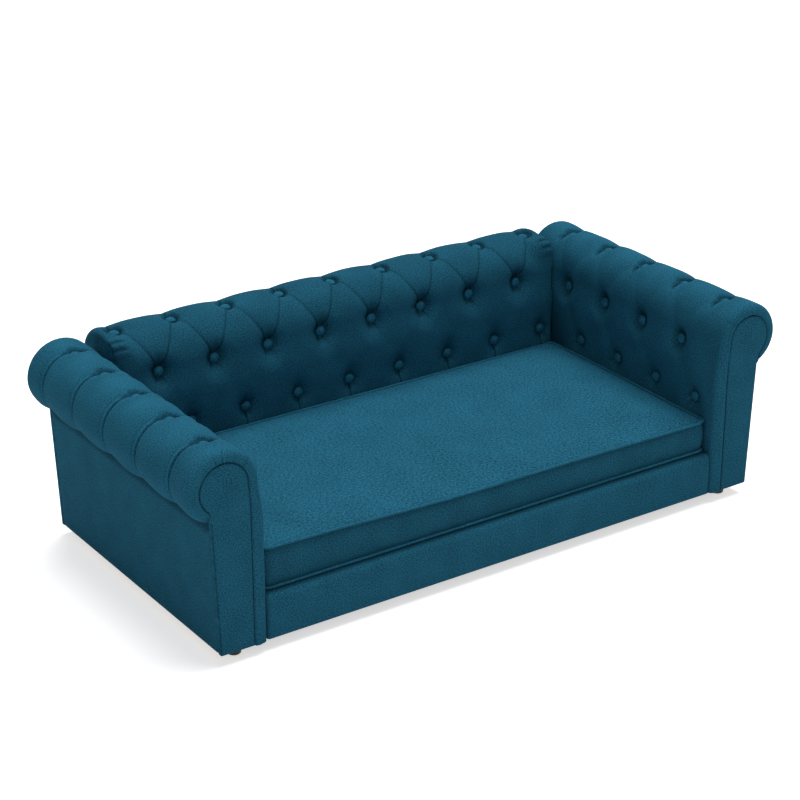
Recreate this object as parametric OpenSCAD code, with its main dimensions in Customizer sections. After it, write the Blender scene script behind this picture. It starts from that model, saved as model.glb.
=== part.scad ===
// Chesterfield pet sofa: two scroll arms and a scroll back, buttoned inside, on a
// low seat base with a loose box cushion. +X is to the right of the front, +Y to the
// back, +Z up. The origin is on the floor under the middle of the whole sofa.

/* [Body] */
// Width across the two side panels at their bottom edges
body_w = 886; // [760:2:1100]
// Depth from the front of the arms to the flat outside of the back
body_d = 450; // [400:1:560]
// Clear height under the body, which is the height of a foot
foot_h = 15.5; // [10:0.5:40]
// Thickness of an arm at its bottom, from the seat side to the outside
arm_w = 69; // [62:1:80]
// How far a side panel leans out from its bottom to its top
side_flare = 7.5; // [0:0.5:12]
// Thickness of the back at its bottom, from the seat side to the outside
back_t = 75; // [68:1:86]
// Height of the axes of the three rolls above the floor
roll_z = 246; // [236:1:300]

/* [Rolls] */
// Radius of an arm's roll over its covering
arm_roll_r = 51; // [44:0.5:58]
// How far an arm's seat side leans out from its bottom to its roll
arm_lean = 6; // [3:0.5:9]
// Thickness of the padding over an arm's roll former and round its facing
arm_cover_t = 16.5; // [15.5:0.5:20]
// Radius of the back's roll over its covering
back_roll_r = 54; // [47:0.5:61]
// How far the back's seat side leans out from its bottom to its roll
back_lean = 5; // [3:0.5:9]
// Thickness of the padding over the back's roll former
back_cover_t = 17; // [16.5:0.5:20]
// Angle below level at which a roll's covering ends on the frame
under_angle = 65; // [60:1:68]
// How much tighter a covering is drawn under its roll than on top
under_draw = 4.5; // [2:0.5:6]

/* [Padding and buttons] */
// Thickness of the foam on the seat sides of the arms and back
foam_t = 20; // [18:0.5:21]
// Number of buttons in the upper row of an arm
arm_cols = 5; // [3:1:7]
// Distance of an arm's outermost buttons from its ends
arm_end_inset = 51; // [40:1:60]
// Number of buttons in the upper row of the back
back_cols = 9; // [5:1:11]
// Distance of the back's outermost buttons from its ends
back_end_inset = 19.7; // [18:0.1:30]
// Diameter of a covered button
button_d = 15; // [12:0.5:16]
// Height of a covered button
button_h = 4; // [3:0.25:4.5]
// Depth of an upper row button's top under the padding's swell
top_sink = 9; // [5:0.25:9.25]
// Depth of a middle row button's top under the padding's swell
mid_sink = 8; // [4:0.25:10]
// Depth of a lower row button's top under the padding's swell
low_sink = 4.6; // [2:0.2:8]
// Height of the lower button row above the floor
low_row_z = 152; // [145:1:160]
// Height of an arm's middle button row above the floor
arm_mid_row_z = 227; // [205:1:234]
// Height of the back's middle button row above the floor
back_mid_row_z = 238; // [205:1:238]
// Angle of the upper button row round the roll, from the outward level
top_row_angle = 93; // [80:1:100]
// Depth of the folds that run from button to button
fold_sink = 4; // [1:0.25:6]
// Radius of the rounding at the ends of a padded roll
end_round = 7; // [4:0.5:9]

/* [Seat base] */
// Height of the seat deck, on which the cushion lies, above the floor
deck_z = 79.5; // [74:0.5:110]
// How far the front rail stands behind the front of the arms
rail_set_back = 2.5; // [0:0.5:10]
// Thickness of the padded cover on the front of the front rail
rail_cover_t = 8; // [6:0.5:12]
// Radius of the front rail's rounded top edge and top corners
rail_round = 7; // [4:0.5:7.5]
// Thickness of the rails that the sofa's frame is bolted together with
rail_t = 18; // [15:0.5:24]
// Thickness of the seat deck
deck_t = 6; // [4:0.5:12]
// Width of a cross bar under the deck
bar_w = 30; // [20:1:45]
// Height of a cross bar under the deck
bar_h = 30; // [20:1:40]
// Thickness of the cloth underneath
dust_cloth_t = 0.8; // [0.5:0.1:1.5]

/* [Cushion] */
// Thickness of the cushion between its two flat faces' edges
cushion_h = 50; // [40:1:60]
// How far the cushion's front stands behind the front of the arms
cushion_set_back = 13; // [8:1:30]
// Radius of the cushion's corners seen from above
cushion_corner_r = 26; // [16:1:40]
// How far the top swells above its edge in the middle
crown_h = 9; // [2:0.5:14]
// How far each side is drawn in between its corners
draw_in = 2; // [0.5:0.25:3]
// Diameter of the piping along the cushion's edges
piping_d = 5; // [3:0.25:6]
// Thickness of the quilted cushion cover
cover_t = 7; // [5:0.5:9]
// Length of the zip in the cushion's rear side
zip_l = 560; // [300:10:580]

/* [Boards and fastenings] */
// Thickness of the end boards and the boards behind the foam
board_t = 12; // [9:0.5:14]
// Thickness of the outside panels with their cloth
panel_t = 6; // [4:0.5:8]
// Thickness of the padded facings at the ends of the arms
facing_t = 8; // [5:0.5:12]
// Thickness of the bent card that forms each roll under the foam
former_t = 3; // [2:0.25:4]
// Diameter of the bolts between base, arms and back
bolt_d = 6; // [5:0.5:8]
// Diameter of a foot
foot_d = 22; // [18:1:26]
// Diameter of the screw in a foot
screw_d = 4; // [3:0.25:5]

/* [Hidden] */

// Clearance between pieces that lie against each other with a curved or loose face
fit_gap = 0.3;
// Clearance of the cushion to the arms and back
cushion_gap = 0.8;
// How far a cut runs past the face it opens
overrun = 1;

// Places that everything else follows
arm_axis_out = arm_lean + arm_roll_r;
arm_core_r = arm_roll_r - arm_cover_t;
back_axis_out = back_lean + back_roll_r;
back_core_r = back_roll_r - back_cover_t;
seat_half = body_w / 2 - arm_w;
back_overhang = back_axis_out + back_roll_r - back_t;
front_y = -(body_d + back_overhang) / 2;
rear_y = front_y + body_d;
mid_y = (front_y + rear_y) / 2;
back_y = rear_y - back_t;
arm_half = body_d / 2;
unit_half = seat_half - fit_gap;
arm_pitch = 2 * (arm_half - arm_end_inset) / (arm_cols - 1);
back_pitch = 2 * (unit_half - back_end_inset) / (back_cols - 1);

// The covering: it starts below the deck's top and ends under the roll
pad_drop = 1.5;
pad_z = deck_z - pad_drop;
lean_h = 52;
rise = roll_z - pad_z;

// Buttoned forms: the flat seat under a button, and the widths of dimples and folds
seat_margin = 0.75;
seat_r = button_d / 2 + seat_margin;
dimple_w = 26;
fold_w = 36;
fold_fade = 24;
arm_between_shares = [0.5];
low_share = 0.4;

function clamp(t) = max(0, min(1, t));
function smooth(t) = let (c = clamp(t)) c * c * (3 - 2 * c);
function smooth_slope(t) = let (c = clamp(t)) 6 * c * (1 - c);

// Radius of a covering round its roll at an angle from the outward level
function cover_r(roll_r, angle) =
    angle > 0 ? roll_r : roll_r - under_draw * smooth(-angle / under_angle);

// Point of a covering's section at a distance u along it, and which way it faces:
// [outward, height, angle]
function cover_point(u, axis_out, roll_r, sink) =
    u < rise
    ? let (t = 1 - (rise - u) / lean_h, lean = axis_out - roll_r)
      [lean * smooth(t) + sink, pad_z + u, 180 - atan(lean * smooth_slope(t) / lean_h)]
    : let (angle = 180 - (u - rise) / (PI * roll_r) * 180,
           r = cover_r(roll_r, angle) - sink)
      [axis_out + r * cos(angle), roll_z + r * sin(angle), angle];

function cover_len(roll_r) = rise + PI * roll_r * (180 + under_angle) / 180;
function top_row_u(roll_r) = rise + PI * roll_r * (180 - top_row_angle) / 180;
low_row_u = low_row_z - pad_z;
arm_mid_row_u = arm_mid_row_z - pad_z;
back_mid_row_u = back_mid_row_z - pad_z;

// Distance of a point from a straight fold between two buttons
function fold_dist(p, a, b) =
    let (along = clamp(((p - a) * (b - a)) / ((b - a) * (b - a))))
    norm(p - a - along * (b - a));
function fold_at(d) = d < fold_w ? fold_sink * pow(1 - d / fold_w, 2) : 0;
function dimple_at(p, depth) =
    let (d = norm([for (c = p) max(0, abs(c) - seat_r)]))
    d < dimple_w ? depth * pow(1 - d / dimple_w, 2) : 0;

// Nearest button of a full row and of the row between, along a pad
function full_col(v, pitch, cols) =
    let (half = (cols - 1) / 2)
    pitch * (max(0, min(cols - 1, round(v / pitch + half))) - half);
function between_col(v, pitch, cols) =
    let (half = (cols - 2) / 2)
    pitch * (max(0, min(cols - 2, round(v / pitch + half))) - half);

// How deep the covering lies under its swell at a distance u up and v along a pad
function tuft(u, v, pitch, cols, roll_r, mid_u) =
    let (f = full_col(v, pitch, cols),
         m = between_col(v, pitch, cols),
         top_u = top_row_u(roll_r),
         end_u = cover_len(roll_r),
         p = [u, v],
         mid = [mid_u, m],
         half = pitch / 2,
         folds = max(fold_at(fold_dist(p, mid, [top_u, m - half])),
                     fold_at(fold_dist(p, mid, [top_u, m + half])),
                     fold_at(fold_dist(p, mid, [low_row_u, m - half])),
                     fold_at(fold_dist(p, mid, [low_row_u, m + half])),
                     fold_at(fold_dist(p, [top_u, f], [end_u, f])),
                     low_share * fold_at(fold_dist(p, [low_row_u, f], [0, f]))),
         seat_sink = button_h + fit_gap,
         dimples = max(dimple_at(p - [top_u, f], top_sink + seat_sink),
                       dimple_at(p - mid, mid_sink + seat_sink),
                       dimple_at(p - [low_row_u, f], low_sink + seat_sink)),
         fade = smooth(min(u, end_u - u) / fold_fade))
    fade * max(folds, dimples);

// Rounding of a pad at its ends: how far the covering drops there
function end_drop(v, half_l) =
    let (t = max(0, 1 - (half_l - abs(v)) / end_round))
    end_round * (1 - sqrt(1 - min(1, t * t)));

// Even steps between two values, without the last one
function steps(a, b, n) = [for (i = [0 : n - 1]) a + (b - a) * i / n];

// Distances along the section at which the grid has points
function grid_u(roll_r, mid_u, n_low, n_mid, n_top, n_roll) =
    let (top_u = top_row_u(roll_r))
    concat(steps(0, low_row_u - seat_r, n_low), [low_row_u - seat_r, low_row_u],
           steps(low_row_u + seat_r, mid_u - seat_r, n_mid),
           [mid_u - seat_r, mid_u],
           steps(mid_u + seat_r, top_u - seat_r, n_top),
           [top_u - seat_r, top_u],
           steps(top_u + seat_r, cover_len(roll_r), n_roll), [cover_len(roll_r)]);

// Places along the pad at which the grid has points: every column, the edges of the
// flat seats beside it, and the shares between them
function grid_v(half_l, pitch, cols, between) =
    let (half = (cols - 1) / 2,
         inner = pitch / 2 - 2 * seat_r,
         spans = 2 * (cols - 1),
         last = pitch * half,
         column = [for (k = [0 : spans]) pitch * (k / 2 - half)],
         body = [for (k = [0 : spans])
             for (o = concat([0], k < spans
                             ? concat([seat_r], [for (s = between) seat_r + inner * s],
                                      [pitch / 2 - seat_r])
                             : []))
             column[k] + o],
         tail = half_l - last,
         end = concat([for (s = [seat_r / tail, 1 / 2]) last + tail * s],
                      [half_l - end_round, half_l - end_round / 4, half_l]))
    concat([for (i = [len(end) - 1 : -1 : 0]) -end[i]], body, end);

function count_below(list, x) = len([for (t = list) if (t < x) 1]);

// A buttoned pad: the covering outside, the frame's outline inside. x is outward
// from the seat side, y along the pad
module tufted_pad(axis_out, roll_r, core_r, half_l, pitch, cols, mid_u, n_u, between) {
    us = grid_u(roll_r, mid_u, n_u[0], n_u[1], n_u[2], n_u[3]);
    vs = grid_v(half_l, pitch, cols, between);
    nu = len(us);
    nv = len(vs);
    outer = [for (v = vs) for (u = us)
        let (q = cover_point(u, axis_out, roll_r,
                             max(tuft(u, v, pitch, cols, roll_r, mid_u),
                                 end_drop(v, half_l))))
        [q[0], v, q[1]]];
    arcs = 8;
    start_angle = 196;
    step = (start_angle + under_angle) / arcs;
    clear_r = (core_r + fit_gap) / cos(step / 2);
    board_side = foam_t - fit_gap;
    board_clear_z = roll_z - core_r / 2 + fit_gap;
    section = concat([[board_side, pad_z], [board_side, board_clear_z]],
        [for (i = [0 : arcs])
            let (angle = start_angle - step * i)
            [max(board_side, axis_out + clear_r * cos(angle)),
             roll_z + clear_r * sin(angle)]]);
    ni = len(section);
    inner = [for (v = [-half_l, half_l]) for (s = section) [s[0], v, s[1]]];
    inner_u = concat([0, board_clear_z - pad_z], [for (i = [0 : arcs])
        rise + PI * roll_r * (180 - start_angle + step * i) / 180]);
    mids = [for (i = [0 : nu - 2]) (us[i] + us[i + 1]) / 2];
    turns = [for (j = [0 : ni - 2]) (inner_u[j] + inner_u[j + 1]) / 2];
    first = nu * nv;
    last = first + ni;
    cover_faces = [for (k = [0 : nv - 2]) for (i = [0 : nu - 2])
        let (a = k * nu + i, b = a + 1, c = a + nu, d = c + 1)
        for (f = [[a, d, b], [a, c, d]]) f];
    inner_faces = [for (j = [0 : ni - 2])
        let (a = first + j, b = a + 1, c = last + j, d = c + 1)
        for (f = [[a, d, c], [a, b, d]]) f];
    low_faces = concat([for (k = [0 : nv - 2]) [k * nu, first, (k + 1) * nu]],
                       [[(nv - 1) * nu, first, last]]);
    high_faces = concat(
        [for (k = [0 : nv - 2]) [k * nu + nu - 1, (k + 1) * nu + nu - 1, first + ni - 1]],
        [[(nv - 1) * nu + nu - 1, last + ni - 1, first + ni - 1]]);
    near_faces = concat(
        [for (i = [0 : nu - 2]) [i, i + 1, first + count_below(turns, mids[i])]],
        [for (j = [0 : ni - 2]) [count_below(mids, turns[j]), first + j + 1, first + j]]);
    far = (nv - 1) * nu;
    far_faces = concat(
        [for (i = [0 : nu - 2]) [far + i, last + count_below(turns, mids[i]), far + i + 1]],
        [for (j = [0 : ni - 2]) [far + count_below(mids, turns[j]), last + j, last + j + 1]]);
    polyhedron(points = concat(outer, inner),
               faces = concat(cover_faces, inner_faces, low_faces, high_faces,
                              near_faces, far_faces));
}

// One covered button: flat below, domed above
button_rim = 1;
button_dome = button_h - button_rim;
dome_r = (pow(button_d / 2, 2) + pow(button_dome, 2)) / (2 * button_dome);
module button() {
    rotate_extrude($fn = 32) intersection() {
        union() {
            square([button_d / 2, button_rim]);
            translate([0, button_h - dome_r]) circle(dome_r, $fn = 96);
        }
        square([button_d / 2, button_h]);
    }
}

module button_at(u, v, axis_out, roll_r, sink) {
    q = cover_point(u, axis_out, roll_r, sink + button_h);
    translate([q[0], v, q[1]]) rotate([0, 90 - q[2], 0]) button();
}

module tuft_buttons(axis_out, roll_r, pitch, cols, mid_u) {
    for (k = [0 : cols - 1]) {
        v = pitch * (k - (cols - 1) / 2);
        button_at(top_row_u(roll_r), v, axis_out, roll_r, top_sink);
        button_at(low_row_u, v, axis_out, roll_r, low_sink);
    }
    for (k = [0 : cols - 2])
        button_at(mid_u, pitch * (k - (cols - 2) / 2), axis_out, roll_r, mid_sink);
}

// Frames: a unit stands in its own plane, x outward from the seat side, y along it
module along(y0, y1) {
    translate([0, y1, 0]) rotate([90, 0, 0]) linear_extrude(y1 - y0) children();
}
module right_unit() {
    translate([seat_half, mid_y, 0]) children();
}
module left_unit() {
    mirror([1, 0, 0]) right_unit() children();
}
module back_unit() {
    translate([0, back_y, 0]) rotate([0, 0, 90]) children();
}
panel_top_z = roll_z - (arm_roll_r - under_draw) * sin(under_angle) - fit_gap;
back_panel_top_z = roll_z - (back_roll_r - under_draw) * sin(under_angle) - fit_gap;
inner_board_out = foam_t + board_t;
rail_high = 28;
board_top_drop = 28;
inner_board_top_z = roll_z - board_top_drop;

// Outside line of an arm at a height
function side_out(z) = arm_w + side_flare * (z - foot_h) / (panel_top_z - foot_h);

// Question mark outline of an arm's end: stem and roll, inside the foam
module arm_end_shape(x0, core_r, side_in) {
    stem_top_z = roll_z - core_r / 2;
    polygon([[x0, foot_h], [side_out(foot_h) - side_in, foot_h],
             [side_out(panel_top_z) - side_in, panel_top_z],
             [arm_axis_out + core_r * cos(under_angle), roll_z - core_r * sin(under_angle)],
             [arm_axis_out, roll_z], [x0, stem_top_z]]);
    translate([arm_axis_out, roll_z]) circle(core_r, $fn = 96);
}

module arm_facing(y0) {
    along(y0, y0 + facing_t)
        arm_end_shape(foam_t + fit_gap, arm_core_r, 0);
}

module arm_end_board(y0) {
    along(y0, y0 + board_t)
        arm_end_shape(inner_board_out, arm_core_r - former_t - fit_gap, panel_t);
}

module side_panel() {
    along(-arm_half + facing_t, arm_half - facing_t)
        polygon([[side_out(foot_h) - panel_t, foot_h], [side_out(foot_h), foot_h],
                 [side_out(panel_top_z), panel_top_z],
                 [side_out(panel_top_z) - panel_t, panel_top_z]]);
}

bolt_z = deck_z - deck_t - rail_t;
bolt_head_h = 3.5;
bolt_head_r = bolt_d;
washer_t = 1.2;
washer_r = bolt_d * 4 / 3;
tee_nut_r = bolt_d * 3 / 2;
tee_barrel_wall = 1.5;
tee_flange_t = 1.5;
tee_barrel_r = bolt_d / 2 + tee_barrel_wall;
bolt_clear = 0.25;
stack_t = rail_t + fit_gap + inner_board_out;

// Bolts: each arm is bolted to the seat base and to the back, the back to the base
arm_bolt_inset = 70;
base_d = back_y - front_y;
post_bolt_v = arm_half - back_t + inner_board_out + washer_r + seat_margin;
bar_step = unit_half / 2;
arm_bolt_v = [-arm_half + arm_bolt_inset, -arm_half + base_d / 2,
              -arm_half + base_d - arm_bolt_inset, post_bolt_v];
back_bolt_shares = [-1.35, -0.5, 0.5, 1.35];
back_bolt_v = [for (s = back_bolt_shares) s * bar_step];

module bolt_holes(places, r) {
    for (v = places)
        translate([-rail_t - fit_gap - overrun, v, bolt_z]) rotate([0, 90, 0])
            cylinder(r = r, h = stack_t + 2 * overrun, $fn = 48);
}

module inner_board(half_l, top_z, places) {
    difference() {
        translate([foam_t, -half_l, foot_h]) cube([board_t, 2 * half_l, top_z - foot_h]);
        bolt_holes(places, tee_barrel_r + bolt_clear);
    }
}

module packing_board(half_l, places) {
    difference() {
        translate([0, -half_l, foot_h]) cube([foam_t, 2 * half_l, pad_z - fit_gap - foot_h]);
        bolt_holes(places, bolt_d / 2 + bolt_clear);
    }
}

module frame_bolt() {
    socket_r = bolt_d / 3;
    socket_depth = bolt_head_h * 2 / 3;
    difference() {
        union() {
            translate([0, 0, -bolt_head_h]) cylinder(r = bolt_head_r, h = bolt_head_h, $fn = 48);
            cylinder(r = bolt_d / 2, h = stack_t + washer_t, $fn = 48);
        }
        translate([0, 0, -bolt_head_h - overrun])
            cylinder(r = socket_r, h = socket_depth + overrun, $fn = 6);
    }
}
module bolt_places(places) {
    for (v = places)
        translate([-rail_t - fit_gap - washer_t, v, bolt_z]) rotate([0, 90, 0]) children();
}
module washer() {
    difference() {
        cylinder(r = washer_r, h = washer_t, $fn = 48);
        translate([0, 0, -overrun])
            cylinder(r = bolt_d / 2 + bolt_clear, h = washer_t + 2 * overrun, $fn = 48);
    }
}
module tee_nut() {
    barrel_l = board_t * 3 / 4;
    translate([0, 0, stack_t + washer_t]) difference() {
        union() {
            cylinder(r = tee_nut_r, h = tee_flange_t, $fn = 48);
            translate([0, 0, -barrel_l]) cylinder(r = tee_barrel_r, h = barrel_l, $fn = 48);
        }
        translate([0, 0, -barrel_l - overrun])
            cylinder(r = bolt_d / 2 + bolt_clear / 4, h = barrel_l + tee_flange_t + 2 * overrun,
                     $fn = 48);
    }
}
module all_bolt_places() {
    right_unit() bolt_places(arm_bolt_v) children();
    left_unit() bolt_places(arm_bolt_v) children();
    back_unit() bolt_places(back_bolt_v) children();
}

// Bent card round a roll, from the top rail over to the seat side, where it ends a
// little below the roll's axis
former_lap_angle = 12;
module roll_former(axis_out, core_r, half_l) {
    translate([axis_out, half_l, roll_z]) rotate([90, 0, 0])
        rotate([0, 0, -under_angle])
            rotate_extrude(angle = 180 + under_angle + former_lap_angle, $fn = 96)
                translate([core_r - former_t, 0]) square([former_t, 2 * half_l]);
}

module top_rail(half_l, out0, out1, top_z, lean) {
    along(-half_l, half_l)
        polygon([[out0, top_z - rail_high], [out1 - lean, top_z - rail_high], [out1, top_z],
                 [out0, top_z]]);
}
top_rail_w = 20;
rail_lean = side_flare * rail_high / (panel_top_z - foot_h);
arm_board_half = arm_half - facing_t - board_t;

module arm_top_rail() {
    out1 = side_out(panel_top_z) - panel_t;
    top_rail(arm_board_half, out1 - top_rail_w, out1, panel_top_z, rail_lean);
}

// Bottom rail of an arm, into which the feet are screwed
foot_out = foam_t + board_t + foot_d / 4;
foot_inset = facing_t + board_t + foot_d / 4;
screw_grip = 24;
screw_tip_gap = 2;
screw_head_r = screw_d;
screw_head_h = 2.5;
screw_recess = 6;
module foot_places() {
    for (v = [-arm_half + foot_inset, arm_half - foot_inset])
        translate([foot_out, v, 0]) children();
}
module arm_bottom_rail() {
    difference() {
        along(-arm_board_half, arm_board_half)
            polygon([[inner_board_out, foot_h], [side_out(foot_h) - panel_t, foot_h],
                     [side_out(foot_h + rail_high) - panel_t, foot_h + rail_high],
                     [inner_board_out, foot_h + rail_high]]);
        foot_places() translate([0, 0, foot_h - overrun])
            cylinder(r = screw_d / 2, h = overrun + screw_grip + screw_tip_gap, $fn = 24);
    }
}

foot_taper = 1.5;
foot_chamfer = 1;
module foot() {
    difference() {
        rotate_extrude($fn = 64)
            polygon([[0, 0], [foot_d / 2 - foot_taper - foot_chamfer, 0],
                     [foot_d / 2 - foot_taper, foot_chamfer], [foot_d / 2, foot_h],
                     [0, foot_h]]);
        translate([0, 0, -overrun])
            cylinder(r = screw_head_r + bolt_clear, h = screw_recess + overrun, $fn = 48);
        cylinder(r = screw_d / 2 + bolt_clear, h = foot_h + overrun, $fn = 48);
    }
}
module foot_screw() {
    difference() {
        union() {
            translate([0, 0, screw_recess - screw_head_h])
                cylinder(r = screw_head_r, h = screw_head_h, $fn = 48);
            translate([0, 0, screw_recess - screw_head_h / 2])
                cylinder(r = screw_d / 2, $fn = 24,
                         h = foot_h + screw_grip - screw_recess + screw_head_h / 2);
        }
        for (turn = [0, 90])
            rotate([0, 0, turn])
                translate([-screw_d / 2, -screw_d / 8, screw_recess - screw_head_h - overrun])
                    cube([screw_d, screw_d / 4, overrun + screw_head_h / 2]);
    }
}

// Back: boards and posts between the arms
post_half_in = unit_half - rail_t;
module back_end_shape(core_r) {
    polygon([[inner_board_out, foot_h], [back_t - panel_t, foot_h],
             [back_t - panel_t, back_panel_top_z],
             [back_axis_out + core_r * cos(under_angle), roll_z - core_r * sin(under_angle)],
             [back_axis_out, roll_z], [inner_board_out, roll_z - core_r / 2]]);
    translate([back_axis_out, roll_z]) circle(core_r, $fn = 96);
}
module back_post() {
    difference() {
        back_unit() along(-unit_half, -post_half_in)
            back_end_shape(back_core_r - former_t - fit_gap);
        right_unit() bolt_holes([post_bolt_v], bolt_d / 2 + bolt_clear);
    }
}

// Seat base between the arms and in front of the back
base_front_y = front_y + rail_set_back;
rail_y = base_front_y + rail_cover_t;
base_rear_y = back_y - fit_gap;
rail_bottom_z = foot_h + dust_cloth_t;
frame_h = deck_z - deck_t - rail_bottom_z;

module front_rail() {
    translate([-unit_half, rail_y, rail_bottom_z])
        cube([2 * unit_half, rail_t, frame_h]);
}

// Padded cover of the front rail: rounded along its top edge and at its top corners
module front_rail_cover() {
    depth = rail_cover_t + rail_t;
    height = deck_z - foot_h;
    difference() {
        intersection() {
            translate([-unit_half, base_front_y, foot_h]) rotate([90, 0, 90])
                linear_extrude(2 * unit_half) {
                    square([depth, height - rail_round]);
                    translate([rail_round, 0]) square([depth - rail_round, height]);
                    translate([rail_round, height - rail_round]) circle(rail_round, $fn = 64);
                }
            translate([0, base_front_y + depth, foot_h]) rotate([90, 0, 0])
                linear_extrude(depth) {
                    translate([-unit_half, 0]) square([2 * unit_half, height - rail_round]);
                    translate([-unit_half + rail_round, 0])
                        square([2 * (unit_half - rail_round), height]);
                    for (side = [-1, 1])
                        translate([side * (unit_half - rail_round), height - rail_round])
                            circle(rail_round, $fn = 64);
                }
        }
        translate([-unit_half - overrun, rail_y, foot_h - overrun])
            cube([2 * (unit_half + overrun), rail_t + overrun, frame_h + dust_cloth_t + overrun]);
    }
}

seat_rail_y0 = rail_y + rail_t;
seat_rail_y1 = base_rear_y - rail_t;
module right_seat_rail() {
    difference() {
        translate([unit_half - rail_t, seat_rail_y0, rail_bottom_z])
            cube([rail_t, seat_rail_y1 - seat_rail_y0, frame_h]);
        right_unit() bolt_holes([for (k = [0 : 2]) arm_bolt_v[k]], bolt_d / 2 + bolt_clear);
    }
}
module rear_seat_rail() {
    difference() {
        translate([-unit_half, seat_rail_y1, rail_bottom_z])
            cube([2 * unit_half, rail_t, frame_h]);
        back_unit() bolt_holes(back_bolt_v, bolt_d / 2 + bolt_clear);
    }
}

deck_screw_l = 20;
bar_screw_inset = 30;
deck_screw_head_h = 2;
module deck_screw_places() {
    for (x = [-bar_step, 0, bar_step])
        for (y = [seat_rail_y0 + bar_screw_inset, seat_rail_y1 - bar_screw_inset])
            translate([x, y, deck_z]) children();
}
module deck_screw(grow) {
    translate([0, 0, -deck_screw_head_h]) cylinder(r = screw_d + grow, h = deck_screw_head_h, $fn = 48);
    translate([0, 0, -deck_screw_l]) cylinder(r = screw_d / 2 + grow, h = deck_screw_l, $fn = 24);
}
module cross_bar(x) {
    difference() {
        translate([x - bar_w / 2, seat_rail_y0, deck_z - deck_t - bar_h])
            cube([bar_w, seat_rail_y1 - seat_rail_y0, bar_h]);
        deck_screw_places() deck_screw(0);
    }
}
module seat_deck() {
    difference() {
        translate([-unit_half, seat_rail_y0, deck_z - deck_t])
            cube([2 * unit_half, base_rear_y - seat_rail_y0, deck_t]);
        deck_screw_places() deck_screw(bolt_clear);
        deck_screw_places() translate([0, 0, -deck_screw_head_h])
            cylinder(r = screw_d + bolt_clear, h = deck_screw_head_h + overrun, $fn = 48);
    }
}
module dust_cloth() {
    translate([-unit_half, rail_y, foot_h])
        cube([2 * unit_half, base_rear_y - rail_y, dust_cloth_t]);
}

// Cushion: rings of points round a rounded rectangle, from the middle of the
// bottom out, up the sides and in again over the crown
cushion_half = seat_half - cushion_gap;
cushion_front_y = front_y + cushion_set_back;
cushion_rear_y = back_y - cushion_gap;
cushion_mid_y = (cushion_front_y + cushion_rear_y) / 2;
cushion_half_d = (cushion_rear_y - cushion_front_y) / 2;
cushion_z = deck_z + fit_gap;
piping_r = piping_d / 2;
piping_inset = piping_r;
low_piping_z = cushion_z + piping_r;
high_piping_z = cushion_z + cushion_h;
long_points = 15;
short_points = 8;
corner_steps = 4;
pull_power = 6;

function pull(s) = draw_in * (1 - pow(abs(2 * s - 1), pull_power));
function corner_points(cx, cy, r, turn) =
    [for (i = [0 : corner_steps])
        let (angle = turn + 90 * i / corner_steps) [cx + r * cos(angle), cy + r * sin(angle)]];
function side_points(a, b, n, share) =
    let (along = b - a, out = [along[1], -along[0]] / norm(along))
    [for (i = [1 : n]) let (s = i / (n + 1)) a + along * s - out * share * pull(s)];

// One ring: inset from the cushion's outside and drawn in by a share of draw_in
function ring(inset, share) =
    let (hx = cushion_half - inset, hy = cushion_half_d - inset,
         r = max(cushion_corner_r - inset, cushion_corner_r * (hy / cushion_half_d)),
         cx = hx - r, cy = hy - r,
         c0 = corner_points(cx, cy, r, 0), c1 = corner_points(-cx, cy, r, 90),
         c2 = corner_points(-cx, -cy, r, 180), c3 = corner_points(cx, -cy, r, 270))
    concat(c0, side_points(c0[corner_steps], c1[0], long_points, share),
           c1, side_points(c1[corner_steps], c2[0], short_points, share),
           c2, side_points(c2[corner_steps], c3[0], long_points, share),
           c3, side_points(c3[corner_steps], c0[0], short_points, share));

// Insets and heights of the rings, from the bottom's rim to the crown's last ring
seam_in = piping_d;
wall_in_share = 0.9;
wall_in = piping_d * wall_in_share;
wall_turn_share = 0.12;
wall_turn = cushion_h * wall_turn_share;
crown_shares = [0.06, 0.16, 0.34, 0.6, 0.82];
function crown_rise(t) = crown_h * (1 - pow(1 - t, 3));
ring_rows = concat(
    [[seam_in + piping_d, cushion_z, 1], [seam_in, low_piping_z, 1],
     [wall_in, low_piping_z + wall_turn, 1],
     [wall_in, high_piping_z - wall_turn, 1], [seam_in, high_piping_z, 1]],
    [for (s = crown_shares)
        [seam_in + (cushion_half_d - seam_in) * s, high_piping_z + crown_rise(s), 1 - s]]);

module cushion_form() {
    rows = [for (row = ring_rows)
        [for (p = ring(row[0], row[2])) [p[0], p[1] + cushion_mid_y, row[1]]]];
    n = len(rows[0]);
    m = len(rows);
    points = concat([for (row = rows) each row],
                    [[0, cushion_mid_y, cushion_z],
                     [0, cushion_mid_y, high_piping_z + crown_h]]);
    bottom = n * m;
    top = bottom + 1;
    wall_faces = [for (j = [0 : m - 2]) for (i = [0 : n - 1])
        let (a = j * n + i, b = j * n + (i + 1) % n, c = a + n, d = b + n)
        for (f = [[a, c, d], [a, d, b]]) f];
    bottom_faces = [for (i = [0 : n - 1]) [(i + 1) % n, bottom, i]];
    top_faces = [for (i = [0 : n - 1])
        [(m - 1) * n + i, top, (m - 1) * n + (i + 1) % n]];
    polyhedron(points = points, faces = concat(wall_faces, bottom_faces, top_faces));
}

foam_half = cushion_half - seam_in - draw_in - cover_t;
foam_half_d = cushion_half_d - seam_in - draw_in - cover_t;
foam_low_z = cushion_z + cover_t;
foam_high_z = high_piping_z - cover_t / 2;
module foam_block(grow) {
    translate([-foam_half - grow, cushion_mid_y - foam_half_d - grow, foam_low_z - grow])
        cube([2 * (foam_half + grow), 2 * (foam_half_d + grow),
              foam_high_z - foam_low_z + 2 * grow]);
}

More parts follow.
